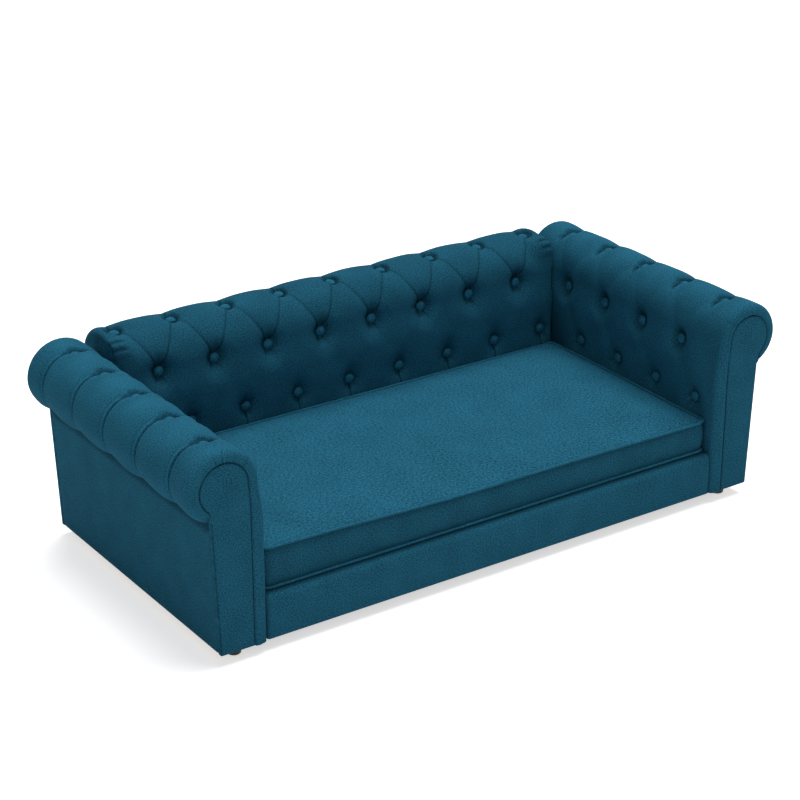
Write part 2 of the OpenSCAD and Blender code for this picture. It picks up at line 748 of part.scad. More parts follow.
// Piping: a round cord laid along the edge of the cushion
module piping(z) {
    hx = cushion_half - piping_inset;
    hy = cushion_half_d - piping_inset;
    r = cushion_corner_r - piping_inset;
    translate([0, cushion_mid_y, z]) {
        for (q = [[1, 1, 0], [-1, 1, 90], [-1, -1, 180], [1, -1, 270]])
            translate([q[0] * (hx - r), q[1] * (hy - r), 0]) rotate([0, 0, q[2]])
                rotate_extrude(angle = 90, $fn = 64) translate([r, 0]) circle(piping_r, $fn = 24);
        for (side = [-1, 1]) {
            translate([-(hx - r), side * hy, 0]) rotate([0, 90, 0])
                cylinder(r = piping_r, h = 2 * (hx - r), $fn = 24);
            translate([side * hx, -(hy - r), 0]) rotate([-90, 0, 0])
                cylinder(r = piping_r, h = 2 * (hy - r), $fn = 24);
        }
    }
}

// Zip along the rear side: tape with its teeth, and a slider that runs on them
zip_z = (low_piping_z + high_piping_z) / 2;
zip_share = (1 + zip_l / (2 * (cushion_half - cushion_corner_r))) / 2;
zip_wall_y = cushion_rear_y - wall_in - pull(zip_share);
tape_t = 0.8;
tape_w = 22;
teeth_t = 1.2;
teeth_w = 5;
zip_y = zip_wall_y + fit_gap;
slider_l = 12;
slider_w = 9;
slider_wall = 0.8;
pull_l = 14;
pull_w = 5;
module cushion_zip() {
    translate([-zip_l / 2, zip_y, zip_z - tape_w / 2]) cube([zip_l, tape_t, tape_w]);
    translate([-zip_l / 2, zip_y + tape_t - fit_gap, zip_z - teeth_w / 2])
        cube([zip_l, teeth_t + fit_gap, teeth_w]);
}
slider_x = zip_l / 2 - slider_l;
slider_y = zip_y + tape_t + fit_gap;
module zip_slider() {
    difference() {
        translate([slider_x - slider_l / 2, slider_y, zip_z - slider_w / 2])
            cube([slider_l, teeth_t + slider_wall, slider_w]);
        translate([slider_x - slider_l / 2 - overrun, slider_y - overrun,
                   zip_z - teeth_w / 2 - fit_gap])
            cube([slider_l + 2 * overrun, teeth_t + overrun, teeth_w + 2 * fit_gap]);
    }
    translate([slider_x - pull_w / 2, slider_y + teeth_t, zip_z - slider_w / 2 - pull_l])
        cube([pull_w, slider_wall, pull_l + slider_w / 2]);
}

cloth = "#1b5a70";
cloth_dark = "#17506a";
ply = "#c9a878";
timber = "#d3b483";
card = "#a58a66";
steel = "#9a9ea3";
plastic = "#2a201c";
felt = "#26282b";
foam = "#e9dfc2";

arm_grid = [3, 2, 5, 7];
back_grid = [2, 1, 3, 6];

module right_arm_tufts() {
    tufted_pad(arm_axis_out, arm_roll_r, arm_core_r, arm_half, arm_pitch, arm_cols,
               arm_mid_row_u, arm_grid, arm_between_shares);
}
module left_arm_pad() { color(cloth) left_unit() right_arm_tufts(); }
module right_arm_pad() { color(cloth) right_unit() right_arm_tufts(); }
module back_pad() {
    color(cloth) back_unit()
        tufted_pad(back_axis_out, back_roll_r, back_core_r, unit_half, back_pitch, back_cols,
                   back_mid_row_u, back_grid, []);
}
module arm_buttons() {
    tuft_buttons(arm_axis_out, arm_roll_r, arm_pitch, arm_cols, arm_mid_row_u);
}
module left_arm_buttons() { color(cloth_dark) left_unit() arm_buttons(); }
module right_arm_buttons() { color(cloth_dark) right_unit() arm_buttons(); }
module back_buttons() {
    color(cloth_dark) back_unit()
        tuft_buttons(back_axis_out, back_roll_r, back_pitch, back_cols, back_mid_row_u);
}

left_arm_pad();
right_arm_pad();
back_pad();
left_arm_buttons();
right_arm_buttons();
back_buttons();

module left_front_facing() { color(cloth) left_unit() arm_facing(-arm_half); }
module right_front_facing() { color(cloth) right_unit() arm_facing(-arm_half); }
module left_rear_facing() { color(cloth) left_unit() arm_facing(arm_half - facing_t); }
module right_rear_facing() { color(cloth) right_unit() arm_facing(arm_half - facing_t); }
module left_side_panel() { color(cloth) left_unit() side_panel(); }
module right_side_panel() { color(cloth) right_unit() side_panel(); }
module rear_panel() {
    color(cloth) back_unit()
        translate([back_t - panel_t, -unit_half, foot_h])
            cube([panel_t, 2 * unit_half, back_panel_top_z - foot_h]);
}
left_front_facing();
right_front_facing();
left_rear_facing();
right_rear_facing();
left_side_panel();
right_side_panel();
rear_panel();

front_board_v = -arm_half + facing_t;
rear_board_v = arm_half - facing_t - board_t;
module left_front_end_board() { color(ply) left_unit() arm_end_board(front_board_v); }
module right_front_end_board() { color(ply) right_unit() arm_end_board(front_board_v); }
module left_rear_end_board() { color(ply) left_unit() arm_end_board(rear_board_v); }
module right_rear_end_board() { color(ply) right_unit() arm_end_board(rear_board_v); }
module arm_inner_board() { inner_board(arm_half - facing_t, inner_board_top_z, arm_bolt_v); }
module left_inner_board() { color(ply) left_unit() arm_inner_board(); }
module right_inner_board() { color(ply) right_unit() arm_inner_board(); }
module back_inner_board() {
    color(ply) back_unit() inner_board(unit_half, inner_board_top_z, back_bolt_v);
}
left_front_end_board();
right_front_end_board();
left_rear_end_board();
right_rear_end_board();
left_inner_board();
right_inner_board();
back_inner_board();

module arm_former() { roll_former(arm_axis_out, arm_core_r, arm_half - facing_t); }
module left_roll_former() { color(card) left_unit() arm_former(); }
module right_roll_former() { color(card) right_unit() arm_former(); }
module back_roll_former() {
    color(card) back_unit() roll_former(back_axis_out, back_core_r, unit_half);
}
left_roll_former();
right_roll_former();
back_roll_former();

module left_top_rail() { color(timber) left_unit() arm_top_rail(); }
module right_top_rail() { color(timber) right_unit() arm_top_rail(); }
module back_top_rail() {
    color(timber) back_unit()
        top_rail(post_half_in, back_t - panel_t - top_rail_w, back_t - panel_t,
                 back_panel_top_z, 0);
}
module left_bottom_rail() { color(timber) left_unit() arm_bottom_rail(); }
module right_bottom_rail() { color(timber) right_unit() arm_bottom_rail(); }
module back_bottom_rail() {
    color(timber) back_unit()
        translate([inner_board_out, -post_half_in, foot_h])
            cube([back_t - panel_t - inner_board_out, 2 * post_half_in, rail_high]);
}
left_top_rail();
right_top_rail();
back_top_rail();
left_bottom_rail();
right_bottom_rail();
back_bottom_rail();

module arm_packing() { packing_board(arm_half, arm_bolt_v); }
module left_packing_board() { color(timber) left_unit() arm_packing(); }
module right_packing_board() { color(timber) right_unit() arm_packing(); }
module back_packing_board() { color(timber) back_unit() packing_board(unit_half, back_bolt_v); }
module right_back_post() { color(timber) back_post(); }
module left_back_post() { mirror([1, 0, 0]) right_back_post(); }
left_packing_board();
right_packing_board();
back_packing_board();
left_back_post();
right_back_post();

color(timber) front_rail();
color(cloth) front_rail_cover();
color(timber) rear_seat_rail();
color(timber) mirror([1, 0, 0]) right_seat_rail();  // left_seat_rail
color(timber) right_seat_rail();
color(timber) cross_bar(-bar_step);  // left_cross_bar
color(timber) cross_bar(0);  // middle_cross_bar
color(timber) cross_bar(bar_step);  // right_cross_bar
color(ply) seat_deck();
color(steel) deck_screw_places() deck_screw(0);  // deck_screws
color(felt) dust_cloth();

module foot_at(side, v) {
    translate([side * (seat_half + foot_out), mid_y + v * (arm_half - foot_inset), 0]) children();
}
color(plastic) foot_at(-1, -1) foot();  // front_left_foot
color(plastic) foot_at(1, -1) foot();  // front_right_foot
color(plastic) foot_at(-1, 1) foot();  // rear_left_foot
color(plastic) foot_at(1, 1) foot();  // rear_right_foot
color(steel) for (side = [-1, 1]) for (v = [-1, 1]) foot_at(side, v) foot_screw();  // foot_screws
color(steel) all_bolt_places() frame_bolt();  // frame_bolts
color(steel) all_bolt_places() washer();  // bolt_washers
color(steel) all_bolt_places() tee_nut();  // tee_nuts

color(cloth) difference() { cushion_form(); foam_block(fit_gap); }  // cushion_cover
color(foam) foam_block(0);  // cushion_foam
color(cloth_dark) piping(high_piping_z);  // top_piping
color(cloth_dark) piping(low_piping_z);  // bottom_piping
color(cloth_dark) cushion_zip();
color(steel) zip_slider();
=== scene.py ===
import math

import bmesh
import bpy
import numpy as np
from mathutils import Matrix, Vector
from mathutils.geometry import delaunay_2d_cdt


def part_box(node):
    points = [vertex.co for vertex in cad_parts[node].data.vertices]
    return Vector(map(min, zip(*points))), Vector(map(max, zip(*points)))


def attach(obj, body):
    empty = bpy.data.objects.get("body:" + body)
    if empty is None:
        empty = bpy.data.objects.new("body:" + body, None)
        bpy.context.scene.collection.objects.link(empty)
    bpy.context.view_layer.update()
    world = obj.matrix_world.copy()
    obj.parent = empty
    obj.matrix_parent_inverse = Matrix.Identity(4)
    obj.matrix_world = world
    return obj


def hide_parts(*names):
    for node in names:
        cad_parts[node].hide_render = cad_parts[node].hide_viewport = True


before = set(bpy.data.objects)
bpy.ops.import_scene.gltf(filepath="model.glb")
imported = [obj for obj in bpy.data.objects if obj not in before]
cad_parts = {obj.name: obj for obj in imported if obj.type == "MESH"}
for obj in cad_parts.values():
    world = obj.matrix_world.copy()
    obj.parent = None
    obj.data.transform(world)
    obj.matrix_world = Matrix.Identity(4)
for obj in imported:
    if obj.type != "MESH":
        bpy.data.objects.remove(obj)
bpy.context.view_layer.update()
print("frame loaded:", len(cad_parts), "nodes")

mm = 0.001
sofaBody = "sofa"

# places that follow the frame, in metres
armLow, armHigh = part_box("right_arm_pad")
backLow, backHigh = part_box("back_pad")
panelLow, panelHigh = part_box("right_side_panel")
facingLow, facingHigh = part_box("right_front_facing")
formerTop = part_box("right_roll_former")[1].z
pipeLow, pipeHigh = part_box("top_piping")
zipLow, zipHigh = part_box("cushion_zip")
seatHalf, padZ, bodyZ = armLow.x, armLow.z, panelLow.z
midY = (armLow.y + armHigh.y) / 2
armHalf = (armHigh.y - armLow.y) / 2
zipMiddle = (zipLow.z + zipHigh.z) / 2

# camera: the photograph's angle
camera = {
    "place": (-1.5867, -2.3031, 1.3969),
    "turn": 34.49,
    "down": 23.69,
    "lens": 96.83,
    "sensor": 36,
    "clip": (0.05, 60),
}


def linked(name, data):
    item = bpy.data.objects.new(name, data)
    bpy.context.scene.collection.objects.link(item)
    return item


def makeCamera():
    data = bpy.data.cameras.new("photoCamera")
    data.lens, data.sensor_width = camera["lens"], camera["sensor"]
    data.clip_start, data.clip_end = camera["clip"]
    eye = linked("photoCamera", data)
    eye.location = camera["place"]
    eye.rotation_euler = (math.radians(90 - camera["down"]), 0, -math.radians(camera["turn"]))
    bpy.context.scene.camera = eye


makeCamera()


# node helpers: an input takes a socket, which is linked to it, or a value
def addNode(tree, kind, inputs=None, **settings):
    node = tree.nodes.new(kind)
    for name, value in settings.items():
        setattr(node, name, value)
    for key, value in (inputs or {}).items():
        if isinstance(value, bpy.types.NodeSocket):
            tree.links.new(value, node.inputs[key])
        else:
            node.inputs[key].default_value = value
    return node


def mathNode(tree, operation, first, second=0.0):
    return addNode(tree, "ShaderNodeMath", {0: first, 1: second}, operation=operation).outputs[0]


def plus(tree, first, *others):
    for other in others:
        first = mathNode(tree, "ADD", first, other)
    return first


def times(tree, first, *others):
    for other in others:
        first = mathNode(tree, "MULTIPLY", first, other)
    return first


def stretched(tree, vector, scale):
    return addNode(tree, "ShaderNodeVectorMath", {0: vector, 1: scale},
                   operation="MULTIPLY").outputs[0]


def noise(tree, vector, scale, detail=2.0, roughness=0.5):
    return addNode(tree, "ShaderNodeTexNoise", {
        "Vector": vector, "Scale": scale, "Detail": detail,
        "Roughness": roughness}).outputs["Fac"]


# a socket is given by its type, or by a number that it starts with
def newTree(name, kind, inputs, outputs):
    tree = bpy.data.node_groups.new(name, kind + "NodeTree")
    for way, sockets in (("INPUT", inputs), ("OUTPUT", outputs)):
        for label, start in sockets.items():
            sort = {float: "Float", int: "Int"}.get(type(start), start)
            socket = tree.interface.new_socket(name=label, in_out=way,
                                               socket_type="NodeSocket" + sort)
            if start != sort:
                socket.default_value = start
    given, result = tree.nodes.new("NodeGroupInput"), tree.nodes.new("NodeGroupOutput")
    return tree, given.outputs, result.inputs


def geometryTree(name, **inputs):
    shape = {"Geometry": "Geometry"}
    return newTree(name, "Geometry", {**shape, **inputs}, shape)


# shader group: linen-like weave, uneven yarns both ways
weaveForm = {
    "yarn": (430, 760),  # noise cells per metre, along and across a yarn
    "shares": (1.4, 0.8),  # how uneven the yarns of each direction are
    "patches": (26, 0.25),  # slow unevenness: cells per metre, strength
    "relief": 0.25,
}


def makeWeaveGroup():
    tree, given, result = newTree(
        "linenWeave", "Shader", {"Vector": "Vector", "Thread": "Float", "Heather": "Float"},
        {"Shade": "Float", "Height": "Float"})
    vector = given["Vector"]
    along, across = weaveForm["yarn"]
    cells, strength = weaveForm["patches"]
    first, second = weaveForm["shares"]
    weft = noise(tree, stretched(tree, vector, (along, across, 1)), 1, 2, 0.6)
    warp = noise(tree, stretched(tree, vector, (across, along, 1)), 1, 2)
    patches = noise(tree, vector, cells, 3)
    yarns = plus(tree, times(tree, weft, first), times(tree, warp, second))
    slow = times(tree, plus(tree, patches, -0.5), strength)
    uneven = plus(tree, plus(tree, yarns, -(first + second) / 2), slow)
    tree.links.new(plus(tree, times(tree, uneven, given["Heather"]), 1.0), result["Shade"])
    split = addNode(tree, "ShaderNodeSeparateXYZ", {0: vector}).outputs
    turns = mathNode(tree, "DIVIDE", 2 * math.pi, given["Thread"])
    waves = [mathNode(tree, "SINE", times(tree, split[axis], turns)) for axis in "XY"]
    threads = times(tree, *waves, weaveForm["relief"])
    tree.links.new(plus(tree, threads, yarns), result["Height"])
    return tree


# shader group: long grain, for boards and rails.
# Bands, fibres: stretch, scale, detail, roughness and share of the grain
grainForm = {
    "bands": ((1, 1, 7), 6, 4, 0.6, 0.7),
    "fibres": ((2, 2, 60), 9, 3, 0.7, 0.5),
    "strength": 0.9,
    "least": 0.45,
}


def makeGrainGroup():
    tree, given, result = newTree(
        "boardGrain", "Shader", {"Vector": "Vector", "Scale": "Float"},
        {"Shade": "Float", "Height": "Float"})
    scaled = addNode(tree, "ShaderNodeVectorMath", {
        0: given["Vector"], "Scale": given["Scale"]}, operation="SCALE").outputs[0]
    parts = []
    for label in ("bands", "fibres"):
        stretch, scale, detail, roughness, share = grainForm[label]
        field = noise(tree, stretched(tree, scaled, stretch), scale, detail, roughness)
        parts.append(times(tree, field, share))
    grain = times(tree, plus(tree, *parts), grainForm["strength"])
    tree.links.new(plus(tree, grain, grainForm["least"]), result["Shade"])
    tree.links.new(field, result["Height"])
    return tree


weaveGroup = makeWeaveGroup()
grainGroup = makeGrainGroup()


def startMaterial(name, color, roughness, **sockets):
    material = bpy.data.materials.new(name)
    material.use_nodes = True
    tree = material.node_tree
    shader = tree.nodes["Principled BSDF"]
    sockets = {"Base_Color": (*color, 1), "Roughness": roughness, **sockets}
    for socket, value in sockets.items():
        shader.inputs[socket.replace("_", " ")].default_value = value
    material.diffuse_color = (*color, 1)
    return material, tree, shader


# the colour times a shade, and the relief
def coat(tree, shader, color, shade, height, depth):
    mix = addNode(tree, "ShaderNodeMix", {"Factor": 1, 6: (*color, 1), 7: shade},
                  data_type="RGBA", blend_type="MULTIPLY")
    bump = addNode(tree, "ShaderNodeBump", {"Strength": 1.0, "Distance": depth,
                                            "Height": height})
    tree.links.new(mix.outputs[2], shader.inputs["Base Color"])
    tree.links.new(bump.outputs["Normal"], shader.inputs["Normal"])


cloth = {
    "color": (0.0152, 0.1040, 0.1690),
    "thread": 1.3 * mm,
    "heather": 1.8,
    "bump": 0.3 * mm,
    "roughness": 0.9,
}


def makeCloth(name, brightness, paintedShadeStrength):
    color = tuple(brightness * c for c in cloth["color"])
    material, tree, shader = startMaterial(
        name, color, cloth["roughness"], Specular_IOR_Level=0.03, Sheen_Weight=0.05,
        Sheen_Roughness=0.35, Sheen_Tint=(0.1, 0.7, 1.0, 1))
    uv = addNode(tree, "ShaderNodeUVMap", uv_map="weave")
    weave = addNode(tree, "ShaderNodeGroup", {
        "Vector": uv.outputs["UV"], "Thread": cloth["thread"],
        "Heather": cloth["heather"]}, node_tree=weaveGroup)
    # the crease attribute is painted shade, which darkens the colour in creases, pits, corners
    # and seams; below zero it is painted highlight
    crease = addNode(tree, "ShaderNodeAttribute", attribute_name="crease").outputs["Fac"]
    dark = mathNode(tree, "SUBTRACT", 1.0, times(tree, crease, paintedShadeStrength))
    coat(tree, shader, color, times(tree, weave.outputs["Shade"], dark),
         weave.outputs["Height"], cloth["bump"])
    return material


def makeBoard(name, color, scale):
    material, tree, shader = startMaterial(name, color, 0.7)
    place = tree.nodes.new("ShaderNodeTexCoord").outputs["Object"]
    grain = addNode(tree, "ShaderNodeGroup", {"Vector": place, "Scale": scale},
                    node_tree=grainGroup).outputs
    coat(tree, shader, color, grain["Shade"], grain["Height"], 0.2 * mm)
    return material


def makeSpeckled(name, color, roughness, scale, spread, metallic=0.0, depth=0.1 * mm):
    material, tree, shader = startMaterial(name, color, roughness, Metallic=metallic)
    place = tree.nodes.new("ShaderNodeTexCoord").outputs["Object"]
    fine = noise(tree, place, scale, 4, 0.6)
    rough = plus(tree, times(tree, fine, 0.2), roughness - 0.1)
    tree.links.new(rough, shader.inputs["Roughness"])
    coat(tree, shader, color, plus(tree, times(tree, fine, spread), 1 - spread / 2), fine, depth)
    return material


# the buttons and the piping are the same cloth painted 1.25 and 1.15 times lighter, a painted
# highlight; the last number is how strong the painted shade is
clothMaterial = makeCloth("petrolCloth", 1, 0.6)
buttonMaterial = makeCloth("petrolButton", 1.25, 0.6)
pipingMaterial = makeCloth("petrolPiping", 1.15, 0.3)
timberMaterial = makeBoard("pineTimber", (0.62, 0.42, 0.22), 4)
plyMaterial = makeBoard("birchPlywood", (0.60, 0.43, 0.26), 2.4)
cardMaterial = makeSpeckled("bentCard", (0.36, 0.24, 0.14), 0.85, 400, 0.35)
foamMaterial = makeSpeckled("seatFoam", (0.82, 0.72, 0.46), 0.95, 900, 0.25, depth=0.6 * mm)
feltMaterial = makeSpeckled("dustFelt", (0.020, 0.020, 0.022), 0.95, 700, 0.7)
steelMaterial = makeSpeckled("zincSteel", (0.56, 0.56, 0.55), 0.38, 300, 0.15, 1.0, 0.02 * mm)
plasticMaterial = makeSpeckled("darkPlastic", (0.012, 0.009, 0.008), 0.42, 500, 0.3)
zipMaterial = makeSpeckled("zipEnamel", (0.012, 0.060, 0.090), 0.35, 300, 0.2, 0.6, 0.02 * mm)
print("materials made")


# mesh helpers
def newPiece(name, points, faces, material, uv=None, crease=None):
    mesh = bpy.data.meshes.new(name)
    mesh.from_pydata(np.reshape(points, (-1, 3)).tolist(), [], faces)
    mesh.update()
    if uv is not None:
        layer = mesh.uv_layers.new(name="weave")
        corner = np.zeros(len(mesh.loops), dtype=np.int32)
        mesh.loops.foreach_get("vertex_index", corner)
        flat = np.asarray(uv, dtype=np.float32).reshape(-1, 2)
        layer.data.foreach_set("uv", flat[corner].ravel())
    # crease: painted shade per point; below zero it is painted highlight
    if crease is not None:
        mark = mesh.attributes.new("crease", "FLOAT", "POINT")
        mark.data.foreach_set("value", np.asarray(crease, dtype=np.float32).ravel())
    mesh.materials.append(material)
    mesh.polygons.foreach_set("use_smooth", [True] * len(mesh.polygons))
    return linked(name, mesh)


def gridFaces(rows, columns, closed=False):
    faces = []
    for i in range(rows - 1):
        for j in range(columns if closed else columns - 1):
            a, b = i * columns + j, i * columns + (j + 1) % columns
            faces.append((a, b, b + columns, a + columns))
    return faces


# rings of points joined to a tube, with a cap at both ends
def cappedGrid(rows, count, way=1):
    ring = list(range(count))[::way]
    caps = [tuple(ring), tuple((rows - 1) * count + k for k in reversed(ring))]
    return gridFaces(rows, count, closed=True) + caps


def placed(points, place):
    world = np.array(place, float)
    return points @ world[:3, :3].T + world[:3, 3]


# where a form stands in the world: its own three directions and its corner
def standing(first, second, third, corner):
    return Matrix(((*first, 0), (*second, 0), (*third, 0), (*corner, 1))).transposed()


# length along a line of points, and a weave map from the lengths both ways
def arcLengths(points):
    return np.concatenate([[0], np.cumsum(np.linalg.norm(np.diff(points, axis=0), axis=1))])


def weaveMap(across, along):
    return np.stack(np.broadcast_arrays(across[None, :], along[:, None]), -1)


def smooth(t):
    c = np.clip(t, 0, 1)
    return c * c * (3 - 2 * c)


def bell(x, width, power=2):
    return np.exp(-(x / width) ** power)


# slow unevenness from a few fixed waves
def unevenness(a, b, wave, seed):
    draw = np.random.RandomState(seed)
    total = np.zeros_like(a)
    for _ in range(9):
        turn = draw.uniform(0, 2 * math.pi)
        length = wave * draw.uniform(0.6, 1.6)
        phase = draw.uniform(0, 2 * math.pi)
        way = (a * math.cos(turn) + b * math.sin(turn)) / length
        total += np.sin(2 * math.pi * way + phase)
    return total / 9


def addModifier(piece, kind, **values):
    modifier = piece.modifiers.new(kind.lower(), kind)
    for name, value in values.items():
        setattr(modifier, name, value)


def evaluatedMesh(piece):
    graph = bpy.context.evaluated_depsgraph_get()
    graph.update()
    return bpy.data.meshes.new_from_object(piece.evaluated_get(graph))


def applied(piece):
    mesh = evaluatedMesh(piece)
    piece.modifiers.clear()
    old, piece.data = piece.data, mesh
    mesh.name = piece.name
    if old.users == 0:
        bpy.data.meshes.remove(old)
    return piece


def outwardFaces(piece):
    work = bmesh.new()
    work.from_mesh(piece.data)
    bmesh.ops.remove_doubles(work, verts=work.verts, dist=1e-6)
    bmesh.ops.recalc_face_normals(work, faces=work.faces)
    work.to_mesh(piece.data)
    work.free()
    return piece


# a piece rides on its body and stands for the frame's nodes, which are hidden
def finish(piece, slot, body, *nodes):
    for node in nodes:
        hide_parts(node)
    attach(piece, body)


# buttoned covers: a section swept along the pad, drawn in at the buttons and creases
# creases: valley, groove, groove width, groove kept at the far end, reach of the groove
# pits: depth and width of the steep part, depth of the wide part,
#     stretch up, forwards and backwards along the pad
# pleat: depth in front, added depth behind, width
# slit at a top button: depth, half length over the roll, width in front and behind
# slitShade: painted shade in a slit, and what is added at its darkest
# rollShade: painted shade from just above the mid row up over the roll
armCover = {
    "rollRadius": 51 * mm,
    "axisOut": 57 * mm,
    "coreRadius": 34.5 * mm,
    "columns": 5,
    "lowRow": 151 * mm,
    "midRow": 226.8 * mm,
    "pitch": 87 * mm,
    "endRound": 9 * mm,
    "endFall": 9 * mm,
    "endOut": 0.0,
    "drop": padZ - bodyZ,
    "wrapEnds": False,
    "rollShade": 0.0,
    "seed": 5,
    "creases": {
        "roll": (0.0, 3.0, 1.0, 1.0, 1.0),
        "seat": (0.35, 0.5, 1.0, 0.0, 0.03),
        "upper": (0.8, 0.7, 1.0, 0.0, 0.016),
        "lower": (0.6, 0.5, 1.0, 0.0, 0.012),
    },
    "pits": {
        "top": (6 * mm, 6 * mm, 5 * mm, 0.8, 1.3, 0.9),
        "mid": (3.5 * mm, 10 * mm, 9 * mm, 0.85, 1.0, 1.0),
        "low": (2.2 * mm, 8 * mm, 6.4 * mm, 0.85, 1.0, 1.0),
    },
    "pleat": (1.6 * mm, 3.6 * mm, 42 * mm),
    "slit": (10.5 * mm, 30 * mm, 5 * mm, 15 * mm),
    "slitShade": (1.0, 0.35),
}
backCover = {
    "rollRadius": 54 * mm,
    "axisOut": 59 * mm,
    "coreRadius": 37 * mm,
    "columns": 9,
    "lowRow": 154.5 * mm,
    "midRow": 238.2 * mm,
    "pitch": 88.5 * mm,
    "endRound": 12 * mm,
    "endFall": 6 * mm,
    "endOut": 4 * mm,
    "drop": 0.0,
    "wrapEnds": True,
    "rollShade": 0.2,
    "seed": 9,
    "creases": {
        "roll": (0.7, 1.2, 1.0, 1.0, 1.0),
        "seat": (0.3, 1.3, 1.0, 0.6, 0.03),
        "upper": (0.6, 1.5, 0.9, 0.5, 0.04),
        "lower": (0.3, 1.0, 0.9, 0.0, 0.018),
    },
    "pits": {
        "top": (5.5 * mm, 6 * mm, 6 * mm, 0.7, 1.0, 1.0),
        "mid": (3.5 * mm, 10 * mm, 9 * mm, 0.8, 1.0, 1.0),
        "low": (2.4 * mm, 8 * mm, 6.4 * mm, 0.8, 1.0, 1.0),
    },
    "pleat": (0.0, 0.0, 40 * mm),
    "slit": (6 * mm, 16 * mm, 8 * mm, 9 * mm),
    "slitShade": (0.8, 0.0),
}
tufting = {
    "rollHeight": formerTop - armCover["coreRadius"],
    "leanHigh": 52 * mm,
    "underAngle": math.radians(65),
    "underDraw": 4.5 * mm,
    "foam": 19.7 * mm,
    "topAngle": math.radians(93),
    "sinks": {"top": 7.4 * mm, "mid": 7.4 * mm, "low": 4.2 * mm},
    "buttonRadius": 7.5 * mm,
    "buttonHeight": 4 * mm,
    "dimple": 32 * mm,
    "puff": 44 * mm,
    "crease": 4.0 * mm,
    "groove": 1.0 * mm,
    "grooveWidth": 1.35 * mm,
    "pucker": 0.6 * mm,
    "step": 2.2 * mm,
    "fineStep": 0.9 * mm,
    "fineReach": 9 * mm,
    "slit": 40 * mm,
    "underBulge": 4.5 * mm,
    "underReach": (55 * mm, 45 * mm),
    "underEdge": 7 * mm,
    # underShade: painted shade towards the cover's end under the roll: darkness, where it starts
    # and over which it grows
    "underShade": (0.7, 17 * mm, 13 * mm),
    "uneven": (0.7 * mm, 60 * mm),
    "level": 20 * mm,  # below this height the cover flattens
    "power": 6.0,  # depths join as a power mean, so that the deepest rules
}
neck = {"start": math.radians(50), "swing": 11.9 * mm}
rollHeight = tufting["rollHeight"]
rise = rollHeight - padZ


# u runs up the straight side and round the roll, v along the pad
def turnAt(u, cover):
    return math.pi - (u - rise) / cover["rollRadius"]


def sectionAt(u, cover):
    t = tufting
    lean = cover["axisOut"] - cover["rollRadius"]
    share = np.clip(1 - (rise - u) / t["leanHigh"], 0, 1)
    slope = lean * 6 * share * (1 - share) / t["leanHigh"]
    straight, angle = u < rise, turnAt(u, cover)
    radius = cover["rollRadius"] - t["underDraw"] * smooth(-angle / t["underAngle"])
    out = np.where(straight, lean * smooth(share), cover["axisOut"] + radius * np.cos(angle))
    high = np.where(straight, padZ + u, rollHeight + radius * np.sin(angle))
    return out, high, np.where(straight, math.pi - np.arctan(slope), angle)


def innerAt(u, cover, radius):
    straight, angle = u < rise, turnAt(u, cover)
    out = np.where(straight, tufting["foam"], cover["axisOut"] + radius * np.cos(angle))
    return out, np.where(straight, padZ + u, rollHeight + radius * np.sin(angle))


# where an arm's cover meets its facing; it swings out to the side panel under the roll
def seamRadius(us, cover):
    if cover["wrapEnds"]:
        return 0.0
    out = smooth((-turnAt(us, cover) - neck["start"]) / (tufting["underAngle"] - neck["start"]))
    return cover["coreRadius"] + 0.3 * mm + neck["swing"] * out


def rowPlaces(cover):
    topU = rise + cover["rollRadius"] * (math.pi - tufting["topAngle"])
    endU = rise + cover["rollRadius"] * (math.pi + tufting["underAngle"])
    return cover["lowRow"] - padZ, cover["midRow"] - padZ, topU, endU


# the mid row has a button less than the others
def columnPlaces(cover, fewer=0):
    count = cover["columns"] - fewer
    return [cover["pitch"] * (k - (count - 1) / 2) for k in range(count)]


def creaseLines(cover):
    lowU, midU, topU, endU = rowPlaces(cover)
    half = cover["pitch"] / 2
    lines = []
    for v in columnPlaces(cover):
        lines.append(((topU, v), (endU + 20 * mm, v), "roll"))
        lines.append(((lowU, v), (0.0, v), "seat"))
    for v in columnPlaces(cover, 1):
        for side in (-half, half):
            lines.append(((midU, v), (topU, v + side), "upper"))
            lines.append(((midU, v), (lowU, v + side), "lower"))
    return lines


def buttonRows(cover):
    lowU, midU, topU = rowPlaces(cover)[:3]
    return ("top", topU, 0), ("mid", midU, 1), ("low", lowU, 0)


# 1 half way between the buttons of the outer rows
def betweenButtons(v, cover):
    return np.sin(math.pi * (v / cover["pitch"] + (cover["columns"] - 1) / 2)) ** 2


# pleats over the roll: gentle behind, a lip in front, a second fold beside it.
# Lap, soft, lit, lip and crown: distance from the button, width and strength
# lit, lip and crown are painted highlight, on the second fold, the lip and the roll's top
# between the buttons; fold is a painted shadow line beside each pleat
pleatForm = {
    "edge": 0.8 * mm,
    "deeper": (0.8, 0.6, 24 * mm),  # least, more beside the button, its length
    "past": (16 * mm, 18 * mm),  # where the second fold starts, its length
    "widening": (1.2, 14 * mm),
    "lap": (4.6 * mm, 2.4 * mm, 1.9 * mm),
    "soft": (9.6 * mm, 2.4 * mm, 1.1 * mm),
    "lit": (6 * mm, 2.4 * mm, 0.45),
    "lip": (-6 * mm, 3 * mm, 0.5),
    "lipLong": 30 * mm,
    "crown": (12 * mm, 28 * mm, 0.35),
    "groove": 2.2,
    "fold": (1 * mm, 1.8 * mm, 12 * mm),
}


def stripe(s, label):
    away, wide, strength = pleatForm[label]
    return strength * bell(s - away, wide)


